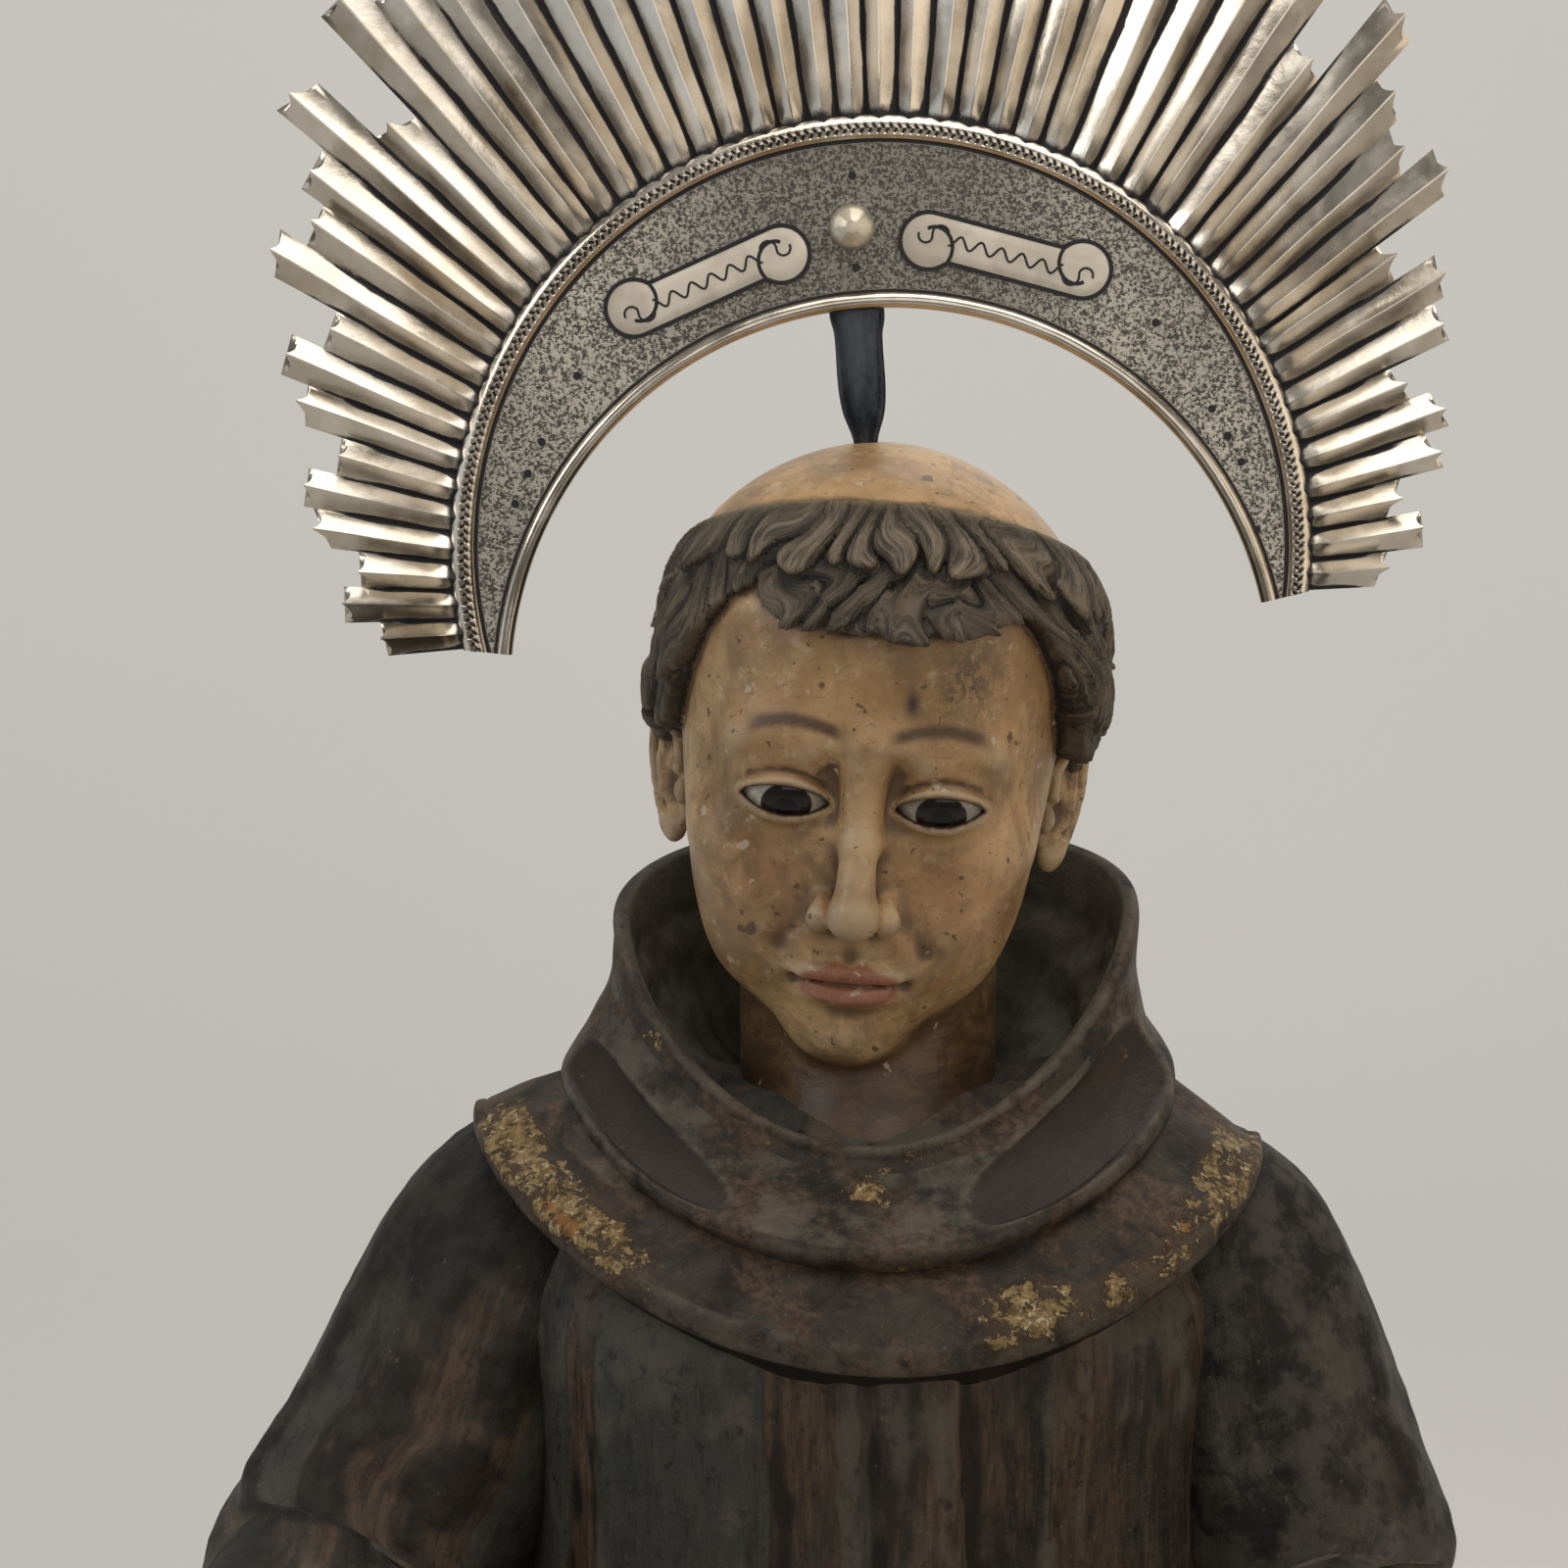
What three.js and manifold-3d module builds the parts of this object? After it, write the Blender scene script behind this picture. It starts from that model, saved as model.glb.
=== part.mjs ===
// A carved and painted wooden friar saint on a low plinth, with a silver halo of rays on an iron tang.
// Millimetres, +Z up. The figure faces -Y, and the origin is the middle of the plinth's underside.
import * as THREE from "three";
import { mergeVertices } from "three/addons/utils/BufferGeometryUtils.js";
import Module from "manifold-3d";

const wasm = await Module();
wasm.setup();

// Driving dimensions
const GAP = 0.3; // clearance between two separate pieces that touch
const PLINTH = { height: 50, halfWidth: 180, halfDepth: 152, corner: 46, chamfer: 9, taper: 7 };
const HEM_Z = PLINTH.height + GAP;
const WAIST_Z = 642;
const SHOULDER_Z = 898;
const CORD_RADIUS = 6;
const CAPE_EDGE = 7; // thickness of the cape's carved border
const HOOD_WALL = 5;
const NECK = { y: 3, halfWidth: 35, back: 36, bottom: 864, bend: 886, top: 955, lean: 0.1 };
const HEAD = { height: 155, drawnHeight: 150, centre: [0, -13, 991.5], pitch: 14, roll: 4, yaw: 2 };
const HAIR = {
  centre: [1.6, 3, 13],
  radii: [60.5, 68.5, 63],
  locks: 15,
  lockDepth: 1.8,
  scallops: 6,
  crownTilt: 33, // degrees that the shaven crown's plane leans back
  crownDistance: 48,
};
const EYE = { x: 19.5, y: -42, z: 0, radius: 10.4, back: 2 };
const HALO = {
  centre: [3, -14, 1043],
  roll: -4,
  outerRadius: 115.4,
  innerRadius: 102,
  innerDrop: 38, // how far the inner circle's centre lies below the outer one's
  rayDrop: 17, // how far the point that the rays spread from lies below it
  halfSpan: 99.7, // degrees from the top to each end of the band
  sheet: 1.4,
  rimRadius: 2.2,
  ropeWidth: 6.8,
  ropeHeight: 1.8,
  rayCrest: 4.2,
  rayEdge: 1.3,
};
// Ray lengths from the lowest ray up to the middle of the top. Both halves of the halo are cut alike.
const RAY_LENGTHS = [
  23, 32, 27, 39, 42, 34, 48, 54, 45, 68, 62, 69, 85, 60, 92, 84, 99, 90, 104, 74, 101, 110, 80, 106, 113, 116,
];
const SLEEVES = {
  right: {
    centres: [
      [-66, 8, 862], [-93, 2, 849], [-119, -10, 798], [-142, -26, 757],
      [-150, -66, 740], [-155, -118, 738], [-156, -168, 736],
    ],
    halfWidths: [31, 38, 41, 40, 38, 40, 47],
    halfHeights: [30, 38, 41, 43, 43, 48, 60],
  },
  left: {
    centres: [
      [66, 8, 858], [92, 2, 844], [111, -10, 793], [124.5, -24, 748],
      [128, -60, 732], [124, -112, 729], [119, -162, 727],
    ],
    halfWidths: [31, 38, 40, 38.5, 38, 39, 46],
    halfHeights: [30, 38, 40, 42, 43, 48, 60],
  },
};
const CUFF = { wall: 6, depth: 24 };

const radians = THREE.MathUtils.degToRad;
const clamp = THREE.MathUtils.clamp;
const lerp = THREE.MathUtils.lerp;
const smoothstep = THREE.MathUtils.smoothstep;

// Smooth curve through knots [position, value], level beyond them
function smooth(knots) {
  return (t) => {
    if (t <= knots[0][0]) return knots[0][1];
    const last = knots[knots.length - 1];
    if (t >= last[0]) return last[1];
    const i = knots.findIndex((k) => k[0] > t) - 1;
    const knot = (index) => knots[clamp(index, 0, knots.length - 1)];
    const [p0, p1, p2, p3] = [knot(i - 1), knot(i), knot(i + 1), knot(i + 2)];
    const span = p2[0] - p1[0];
    const u = (t - p1[0]) / span;
    const slope = (a, b) => (b[0] === a[0] ? 0 : (b[1] - a[1]) / (b[0] - a[0]));
    const m1 = slope(p0, p2) * span;
    const m2 = slope(p1, p3) * span;
    const u2 = u * u;
    const u3 = u2 * u;
    return (2 * u3 - 3 * u2 + 1) * p1[1] + (u3 - 2 * u2 + u) * m1 + (3 * u2 - 2 * u3) * p2[1] + (u3 - u2) * m2;
  };
}

// Closed solid through rings of points that run anticlockwise seen from the end that the rings move towards
function ringSolid(rings) {
  const n = rings[0].length;
  const points = rings.flat();
  const middle = (ring) => ring.reduce((sum, p) => sum.add(p), new THREE.Vector3()).divideScalar(n);
  points.push(middle(rings[0]), middle(rings[rings.length - 1]));
  const [first, last] = [points.length - 2, points.length - 1];
  const top = (rings.length - 1) * n;
  const index = [];
  for (let k = 0; k < n; k++) {
    const next = (k + 1) % n;
    index.push(first, next, k, last, top + k, top + next);
    for (let r = 0; r + 1 < rings.length; r++) {
      const [a, b, c, d] = [r * n + k, r * n + next, (r + 1) * n + next, (r + 1) * n + k];
      index.push(a, b, c, a, c, d);
    }
  }
  return meshSolid(points, index);
}

function meshSolid(points, index) {
  const geometry = new THREE.BufferGeometry();
  geometry.setAttribute("position", new THREE.Float32BufferAttribute(points.flatMap((p) => p.toArray()), 3));
  geometry.setIndex(index);
  return toManifold(geometry);
}

function toManifold(geometry) {
  const bare = geometry.clone();
  bare.deleteAttribute("normal");
  bare.deleteAttribute("uv");
  const merged = mergeVertices(bare, 1e-3);
  const solid = new wasm.Manifold(
    new wasm.Mesh({
      numProp: 3,
      vertProperties: new Float32Array(merged.attributes.position.array),
      triVerts: new Uint32Array(merged.index.array),
    }),
  );
  if (solid.volume() > 0) return solid;
  merged.setIndex(Array.from(merged.index.array).reverse());
  return toManifold(merged);
}

function toGeometry(solid) {
  const mesh = solid.getMesh();
  const positions = new Float32Array(mesh.numVert * 3);
  for (let i = 0; i < mesh.numVert; i++) {
    positions.set(mesh.vertProperties.subarray(i * mesh.numProp, i * mesh.numProp + 3), i * 3);
  }
  const geometry = new THREE.BufferGeometry();
  geometry.setAttribute("position", new THREE.BufferAttribute(positions, 3));
  geometry.setIndex(new THREE.BufferAttribute(new Uint32Array(mesh.triVerts), 1));
  geometry.computeVertexNormals();
  return geometry;
}

const unite = (solids) => solids.reduce((sum, s) => sum.add(s));

// Oval ring round an upright axis, with its own half width, front and back. height is a function of the angle
function ovalRing(n, { y = 0, halfWidth, front, back, height, power = 2, push = () => 0 }) {
  return Array.from({ length: n }, (_, k) => {
    const angle = (2 * Math.PI * k) / n;
    const [c, s] = [Math.cos(angle), Math.sin(angle)];
    const px = halfWidth * Math.sign(c) * Math.abs(c) ** (2 / power);
    const py = (s < 0 ? front : back) * Math.sign(s) * Math.abs(s) ** (2 / power);
    const reach = 1 + push(angle) / Math.hypot(px, py);
    return new THREE.Vector3(px * reach, y + py * reach, height(angle));
  });
}

// Height round the body that is side at the sides, and front and back in the middle
const saddle = (side, front, back, frontSharpness = 1.6, backSharpness = 1.6) => (angle) => {
  const s = Math.sin(angle);
  return s < 0 ? side + (front - side) * (-s) ** frontSharpness : side + (back - side) * s ** backSharpness;
};

// Habit: the robe with its skirt folds
const ROBE_WIDTH = smooth([
  [50, 160], [62, 163], [200, 146], [400, 122], [560, 106], [642, 95],
  [700, 98], [790, 93], [850, 92], [884, 66], [898, 42],
]);
const ROBE_FRONT = smooth([
  [50, 114], [62, 117], [200, 107], [400, 97], [560, 90], [642, 79],
  [700, 85], [800, 89.5], [842, 89], [856, 77], [884, 52], [898, 34],
]);
const ROBE_BACK = smooth([
  [50, 112], [62, 115], [200, 103], [400, 91], [560, 84], [642, 74],
  [700, 80], [790, 82], [850, 80], [884, 56], [898, 36],
]);
const ROBE_POWER = 2.25; // a little squarer than an ellipse
const SKIRT_FOLDS = 13;
const CHEST_PLEATS = 17;
const ARMPIT_GROOVE = 7; // how far the chest's sides draw in beside the sleeves

function robeFold(angle, z) {
  const phase = SKIRT_FOLDS * angle + 1.3 * Math.sin(2 * angle + 0.6) + 0.9 * Math.sin(z / 150);
  const fan = Math.cos(phase) + 0.35 * Math.cos(2 * phase + 1) + 0.3 * Math.cos(7 * angle + z / 190);
  const below = clamp((WAIST_Z - 14 - z) / 560, 0, 1) ** 0.7;
  const gathers = Math.cos((SKIRT_FOLDS + 5) * angle + 0.8 * Math.sin(3 * angle));
  const nearWaist = Math.exp(-(((z - WAIST_Z) / 55) ** 2));
  const chest = smoothstep(z, WAIST_Z, WAIST_Z + 60) * (1 - smoothstep(z, 800, 860));
  const pleats = Math.cos(CHEST_PLEATS * angle + 0.7 * Math.sin(2 * angle));
  const upper = smoothstep(z, 690, 740) * (1 - smoothstep(z, 815, 850));
  const beside = smoothstep(Math.abs(Math.cos(angle)), 0.86, 0.96) * upper;
  return 8.5 * below * fan + 2.2 * nearWaist * gathers + 1.6 * chest * pleats - ARMPIT_GROOVE * beside;
}

function robe() {
  const levels = [HEM_Z, 66, 180, 320, 460, 590, WAIST_Z, 680, 750, 830, 870, SHOULDER_Z];
  const aroundRobe = 52;
  return ringSolid(levels.map((z) => ovalRing(aroundRobe, {
    halfWidth: ROBE_WIDTH(z),
    front: ROBE_FRONT(z),
    back: ROBE_BACK(z),
    height: () => z,
    power: ROBE_POWER,
    push: (angle) => robeFold(angle, z),
  })));
}

// Tube of oval sections across a route of centres
function sectionTube(centres, halfWidths, halfHeights, n, { axis = [0, 0, 1], crease = () => 0 } = {}) {
  const upright = new THREE.Vector3(...axis);
  const route = centres.map((c) => new THREE.Vector3(...c));
  return ringSolid(route.map((centre, i) => {
    const before = route[Math.max(i - 1, 0)];
    const after = route[Math.min(i + 1, route.length - 1)];
    const ahead = after.clone().sub(before).normalize();
    const across = ahead.clone().cross(upright).normalize();
    const up = across.clone().cross(ahead).normalize();
    return Array.from({ length: n }, (_, k) => {
      const angle = (2 * Math.PI * k) / n;
      const grow = 1 + crease(angle, i) / halfWidths[i];
      return centre.clone()
        .addScaledVector(across, -halfWidths[i] * Math.cos(angle) * grow)
        .addScaledVector(up, -halfHeights[i] * Math.sin(angle) * grow);
    });
  }));
}

// Oval ring in an upright plane that faces the front
const uprightRing = (n, [x, y, z], halfWidth, halfHeight) => Array.from({ length: n }, (_, k) => {
  const angle = (2 * Math.PI * k) / n;
  return new THREE.Vector3(x - halfWidth * Math.cos(angle), y, z - halfHeight * Math.sin(angle));
});

// Sleeve with folds where the elbow bends, and the hollow of its cuff cut out
function sleeve({ centres, halfWidths, halfHeights }) {
  const elbow = 4;
  const around = 14;
  const folds = (angle, i) => 2.6 * Math.exp(-((i - elbow) ** 2) / 2) * Math.cos(3 * angle + 1.7 * i);
  const body = sectionTube(centres, halfWidths, halfHeights, around, { crease: folds });
  const [x, y, z] = centres[centres.length - 1];
  const width = halfWidths[halfWidths.length - 1] - CUFF.wall;
  const height = halfHeights[halfHeights.length - 1] - CUFF.wall;
  const hollow = ringSolid([
    uprightRing(around, [x, y + CUFF.depth, z + 8], width * 0.6, height * 0.55),
    uprightRing(around, [x, y + CUFF.depth / 2, z + 4], width * 0.92, height * 0.88),
    uprightRing(around, [x, y - 10, z], width, height),
  ]);
  return { body, hollow };
}

// Cape that lies on the shoulders, with a thick carved border that falls to a rounded point behind.
// It hangs a little lower on the left shoulder.
function cape() {
  const around = 32;
  const edgeHeight = (angle) => saddle(886, 843, 768, 1.7, 1.4)(angle) - 4.5 * Math.cos(angle);
  const topHeight = saddle(906, 880, 884);
  const edge = { halfWidth: 108, front: 99, back: 93 };
  const top = { halfWidth: 66, front: 58, back: 60 };
  const ring = (rise, inset = 0, drop = 0) => {
    const size = (side, power) => lerp(edge[side], top[side], rise ** power) - inset;
    return ovalRing(around, {
      halfWidth: size("halfWidth", 1.1),
      front: size("front", 1.2),
      back: size("back", 3),
      height: (angle) => lerp(edgeHeight(angle), topHeight(angle), rise) - drop,
    });
  };
  return ringSolid([ring(0, 50, 48), ring(0, 2, CAPE_EDGE), ring(0), ring(0.12, 1.5), ring(0.45), ring(1)]);
}

// How far the neck stands forward of its axis: its base swells until it fills the front of the collar
const NECK_FRONT = smooth([[NECK.bottom, 55], [NECK.bend, 54], [904, 47], [NECK.top, 38]]);

// Hood pushed back off the head: a standing collar whose thick lower roll laps the cape
const RIM_FLARE = 4; // how far the rim stands out and up over the left shoulder
const flare = (angle) => RIM_FLARE * Math.max(0, Math.cos(angle)) ** 2;
const RIM_HEIGHT = (angle) => saddle(943, 889, 961, 1.35, 0.8)(angle) + flare(angle);
const ROLL_HEIGHT = saddle(898, 866, 806, 1.5, 2.2);
const RIM = { halfWidth: 70, front: 62, back: 64 };
// Two long facets scooped out of the roll, one each side of the front: middle and half length in degrees
const SCOOPS = [{ middle: 214, half: 28 }, { middle: 319, half: 31 }];
const SCOOP_DEPTH = 3;

function scoop(angle) {
  const bow = ({ middle, half }) => 1 - ((angle - radians(middle)) / radians(half)) ** 2;
  return -SCOOP_DEPTH * Math.sqrt(Math.max(0, ...SCOOPS.map(bow)));
}

function hood() {
  const around = 32;
  const blend = (share) => (angle) => lerp(ROLL_HEIGHT(angle), RIM_HEIGHT(angle), share);
  const ring = (halfWidth, front, back, height, drop = 0, push = () => 0) =>
    ovalRing(around, { halfWidth, front, back, height: (angle) => height(angle) - drop, push });
  return ringSolid([
    ring(60, 62, 66, ROLL_HEIGHT, 20),
    ring(81, 84, 92, ROLL_HEIGHT, 5),
    ring(84, 88, 96, ROLL_HEIGHT),
    ring(83, 86, 95, blend(0.12), 0, scoop),
    ring(80, 81, 91, blend(0.22), 0, scoop),
    ring(76, 75, 86, blend(0.35)),
    ring(70, 66, 74, blend(0.62), 0, (angle) => 0.6 * flare(angle)),
    ring(RIM.halfWidth, RIM.front, RIM.back, RIM_HEIGHT, 3, flare),
    ring(RIM.halfWidth - 2, RIM.front - 2, RIM.back - 2, RIM_HEIGHT, 0, flare),
  ]);
}

// The hood's inside, down to the socket that takes the neck
function hoodWell() {
  const around = 32;
  const ring = (halfWidth, front, back, y, height, push) =>
    ovalRing(around, { y, halfWidth, front, back, height, push });
  const socket = [NECK.halfWidth + GAP, NECK_FRONT(NECK.bottom) + GAP, NECK.back + GAP, NECK.y];
  const inside = (share) => (angle) => lerp(saddle(889, 882, 890)(angle), RIM_HEIGHT(angle), share);
  const wall = HOOD_WALL;
  return ringSolid([
    ring(...socket, () => NECK.bottom - GAP),
    ring(...socket, inside(0)),
    ring(56, 54, 53, 0, inside(0.3)),
    ring(RIM.halfWidth - wall - 2, RIM.front - wall - 1, RIM.back - wall - 2, 0, inside(0.72), flare),
    ring(RIM.halfWidth - wall, RIM.front - wall, RIM.back - wall, 0, inside(1), flare),
    ring(RIM.halfWidth + 4, RIM.front + 4, RIM.back + 4, 0, inside(1.5), flare),
  ]);
}

// Rope girdle round the waist, and its end hanging down the front with three knots
function girdle() {
  const around = 26;
  const reach = 3;
  const section = 5;
  const buried = 2.2; // the rope's inner side reaches into the gathers, so no pocket is left behind it
  const turns = Array.from({ length: around }, (_, k) => {
    const angle = (2 * Math.PI * k) / around;
    const z = WAIST_Z + 2 * Math.sin(angle);
    const base = ovalRing(around, {
      halfWidth: ROBE_WIDTH(z) + reach,
      front: ROBE_FRONT(z) + reach,
      back: ROBE_BACK(z) + reach,
      height: () => z,
      power: ROBE_POWER,
    })[k];
    const out = new THREE.Vector3(Math.cos(angle), Math.sin(angle), 0);
    return Array.from({ length: section }, (_, j) => {
      const turn = (2 * Math.PI * j) / section;
      const depth = CORD_RADIUS * Math.cos(turn) * (Math.cos(turn) < 0 ? buried : 1);
      const rise = new THREE.Vector3(0, 0, CORD_RADIUS * Math.sin(turn));
      return base.clone().addScaledVector(out, depth).add(rise);
    });
  });
  return loopSolid(turns);
}

// Closed ring through sections that follow each other round a loop
function loopSolid(sections) {
  const m = sections[0].length;
  const n = sections.length;
  const index = [];
  for (let i = 0; i < n; i++) {
    for (let j = 0; j < m; j++) {
      const [a, b] = [i * m + j, i * m + ((j + 1) % m)];
      const [c, d] = [((i + 1) % n) * m + ((j + 1) % m), ((i + 1) % n) * m + j];
      index.push(a, b, c, a, c, d);
    }
  }
  return meshSolid(sections.flat(), index);
}

const GIRDLE_END = { x: 24, sway: 4, top: 652, bottom: 262, knots: [560, 452, 344], knotSwell: 4.5 };

function girdleEnd() {
  const { x, sway, top, bottom, knots, knotSwell } = GIRDLE_END;
  const spread = [-13, 0, 13];
  const levels = [top, ...knots.flatMap((k) => spread.map((d) => k - d)), bottom];
  const lift = 2;
  const swell = (z) => Math.max(...knots.map((k) => Math.exp(-(((z - k) / 11) ** 2))));
  const radii = levels.map((z) => CORD_RADIUS + knotSwell * swell(z));
  const centres = levels.map((z) => {
    const angle = -Math.PI / 2 + Math.atan2(x, ROBE_FRONT(z));
    const bow = (1 - (x / ROBE_WIDTH(z)) ** ROBE_POWER) ** (1 / ROBE_POWER);
    return [x + sway * Math.sin(z / 90), -ROBE_FRONT(z) * bow - robeFold(angle, z) - lift, z];
  });
  return sectionTube(centres, radii, radii, 6, { axis: [0, 1, 0] });
}

// Bare toes and the front of a foot that show under the hem
function foot(side) {
  const x = 52 * side;
  const turn = 0.16 * side;
  const stations = [[-60, 26, 30], [-98, 26, 28], [-122, 27, 20], [-136, 25, 14], [-145, 17, 9]];
  const around = 10;
  return ringSolid(stations.map(([y, halfWidth, height]) => Array.from({ length: around }, (_, k) => {
    const angle = (2 * Math.PI * k) / around;
    return new THREE.Vector3(
      x + turn * (-y - 60) - halfWidth * Math.cos(angle),
      y,
      HEM_Z + Math.max(0, height * (0.35 + Math.sin(angle) * 0.65)),
    );
  })));
}

function habit() {
  const sleeves = [sleeve(SLEEVES.right), sleeve(SLEEVES.left)];
  const feet = [foot(-1), foot(1)];
  const cloth = unite([robe(), cape(), hood(), girdle(), girdleEnd(), ...feet, ...sleeves.map((s) => s.body)]);
  return sleeves.reduce((rest, s) => rest.subtract(s.hollow), cloth.subtract(hoodWell()));
}

// Head: distance functions in its own upright frame, x to the viewer's right, -y to the front,
// origin midway from chin to crown
const smoothMin = (a, b, k) => {
  const h = Math.max(k - Math.abs(a - b), 0) / k;
  return Math.min(a, b) - (h * h * k) / 4;
};
const smoothMax = (a, b, k) => -smoothMin(-a, -b, k);

function ellipsoid([x, y, z], [cx, cy, cz], [rx, ry, rz]) {
  const [dx, dy, dz] = [(x - cx) / rx, (y - cy) / ry, (z - cz) / rz];
  const near = Math.hypot(dx, dy, dz);
  return (near * (near - 1)) / Math.max(Math.hypot(dx / rx, dy / ry, dz / rz), 1e-6);
}

function limb([x, y, z], [ax, ay, az], [bx, by, bz], ra, rb) {
  const [dx, dy, dz] = [bx - ax, by - ay, bz - az];
  const t = clamp(((x - ax) * dx + (y - ay) * dy + (z - az) * dz) / (dx * dx + dy * dy + dz * dz), 0, 1);
  return Math.hypot(x - ax - t * dx, y - ay - t * dy, z - az - t * dz) - lerp(ra, rb, t);
}

function faceField(p) {
  const q = [Math.abs(p[0]), p[1], p[2]];
  const skull = smoothMin(ellipsoid(q, [0, 8, 17], [51, 59, 58]), ellipsoid(q, [0, 7, 29.5], [54, 56, 45]), 4);
  const face = ellipsoid(q, [0, -15, -8], [47, 38, 56]);
  const jaw = ellipsoid(q, [0, -18, -40], [38, 33, 35]);
  const chin = ellipsoid(q, [0, -37, -61], [17, 14, 14]);
  const cheek = ellipsoid(q, [28, -35, -17], [16, 14, 16]);
  const brow = limb(q, [0, -50, 11], [26, -45, 11], 6, 6);
  const lips = ellipsoid(q, [0, -47, -47], [17, 8, 7]);
  let d = smoothMin(skull, face, 10);
  d = smoothMin(d, jaw, 12);
  d = smoothMin(d, chin, 9);
  d = smoothMin(d, cheek, 12);
  d = smoothMin(d, brow, 8);
  d = smoothMax(d, -ellipsoid(q, [EYE.x, -62, EYE.z], [12, 11, 8]), 6);
  return smoothMin(d, lips, 6);
}

// Nose in the head's own frame: [height, half width, how far its ridge stands forward]
function nose() {
  const root = -36;
  const stations = [
    [-33, 7, 53], [-31, 10.5, 60], [-27, 11, 66.5], [-22, 9, 67], [-14, 6.5, 62.5], [-3, 5, 57], [10, 5.5, 52],
  ];
  return ringSolid(stations.map(([z, halfWidth, front]) => {
    const side = [[halfWidth * 0.45, 1 - front], [halfWidth, 11 - front], [halfWidth + 3, root]];
    const mirrored = side.map(([x, y]) => [-x, y]).reverse();
    return [...mirrored, ...side].map(([x, y]) => new THREE.Vector3(x, y, z));
  }));
}

// Cap of hair with rounded locks that run down from the crown
function hairField(p) {
  const lock = HAIR.lockDepth * (Math.cos(HAIR.locks * Math.atan2(p[0], 6 - p[1])) - 0.4);
  return ellipsoid(p, HAIR.centre, HAIR.radii) - lock * smoothstep(50 - p[2], -20, 20);
}

// Surface found along lines from outside towards the head's centre
function starSolid(field, around, up) {
  const reach = (direction) => {
    let r = 110;
    for (let i = 0; i < 160; i++) {
      const d = field(direction.map((c) => c * r));
      if (d < 0.02) break;
      r -= Math.min(d * 0.6, 3);
    }
    return r;
  };
  return ringSolid(Array.from({ length: up - 1 }, (_, j) => {
    const tilt = (Math.PI * (j + 1)) / up - Math.PI / 2;
    return Array.from({ length: around }, (_, k) => {
      const even = (2 * Math.PI * k) / around;
      const azimuth = -Math.PI / 2 + even - 0.4 * Math.sin(even);
      const level = Math.cos(tilt);
      const direction = [Math.cos(azimuth) * level, Math.sin(azimuth) * level, Math.sin(tilt)];
      return new THREE.Vector3(...direction).multiplyScalar(reach(direction));
    });
  }));
}

// Hair left in a ring round the shaven crown, cut in scallops over the forehead, round the ears and at the nape
function hairSolid() {
  const around = 40;
  const edge = smooth([
    [-1.6, 44], [-1.0, 46], [-0.85, 47], [-0.74, 43], [-0.6, 29], [-0.48, 15],
    [-0.36, 3], [-0.1, 0], [0.35, -22], [0.9, -44], [1.6, -52],
  ]);
  const below = (radius, height) => Array.from({ length: around }, (_, k) => {
    const angle = (2 * Math.PI * k) / around;
    const [c, s] = [Math.cos(angle), Math.sin(angle)];
    const rise = edge(Math.asin(s)) + 3.2 * Math.abs(Math.sin(HAIR.scallops * angle + 0.4)) * (s < 0 ? 1 : 0.5);
    return new THREE.Vector3(radius * c, 6 + radius * s, height === undefined ? rise : height);
  });
  const under = ringSolid([below(130, -150), below(130), below(24)]);
  const crown = new THREE.BoxGeometry(240, 240, 100);
  crown.translate(0, 0, HAIR.crownDistance + 50);
  crown.applyMatrix4(new THREE.Matrix4().makeRotationX(-radians(HAIR.crownTilt)));
  return starSolid(hairField, 45, 9).subtract(under).subtract(toManifold(crown));
}

function ear(side) {
  const shape = new THREE.SphereGeometry(1, 8, 6);
  shape.scale(5, 11.5, 16);
  shape.rotateZ(radians(24 * side));
  shape.translate(50 * side, 8, -18);
  return toManifold(shape);
}

// Places the head's own frame in the figure's
const HEAD_MATRIX = new THREE.Matrix4()
  .makeTranslation(...HEAD.centre)
  .multiply(new THREE.Matrix4().makeRotationY(radians(HEAD.roll)))
  .multiply(new THREE.Matrix4().makeRotationX(radians(HEAD.pitch)))
  .multiply(new THREE.Matrix4().makeRotationZ(radians(-HEAD.yaw)))
  .scale(new THREE.Vector3(1, 1, 1).multiplyScalar(HEAD.height / HEAD.drawnHeight));

function neck() {
  const around = 20;
  const levels = [NECK.bottom, NECK.bend, 904, NECK.top];
  return ringSolid(levels.map((z) => ovalRing(around, {
    y: NECK.y - Math.max(0, z - NECK.bend) * NECK.lean,
    halfWidth: NECK.halfWidth,
    front: NECK_FRONT(z),
    back: NECK.back,
    height: () => z,
  })));
}

// Half ball of glass with a flat back, or the hollow for it with some clearance all round
function eye(side, clearance = 0) {
  const steps = 4;
  const radius = EYE.radius + clearance;
  const back = -EYE.back - clearance;
  const dome = Array.from({ length: steps }, (_, i) => {
    const turn = (Math.PI / 2) * (i / steps);
    return [radius * Math.cos(turn), radius * Math.sin(turn)];
  });
  const profile = [[0, back], [radius, back], ...dome, [0, radius]].map(([r, y]) => new THREE.Vector2(r, y));
  const place = new THREE.Matrix4()
    .makeTranslation(EYE.x * side, EYE.y, EYE.z)
    .multiply(new THREE.Matrix4().makeRotationX(Math.PI));
  return toManifold(new THREE.LatheGeometry(profile, 12).applyMatrix4(place).applyMatrix4(HEAD_MATRIX));
}

const fromManifold = (solid, matrix) => {
  const geometry = toGeometry(solid);
  geometry.applyMatrix4(matrix);
  return toManifold(geometry);
};

// Iron tang: broad behind the band, tapered to a point that is driven into the crown
const TANG = { y: -9.5, boss: 1129, shoulder: 1098, waist: 1083, crown: 1070, bottom: 1057, x: -1 };

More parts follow.
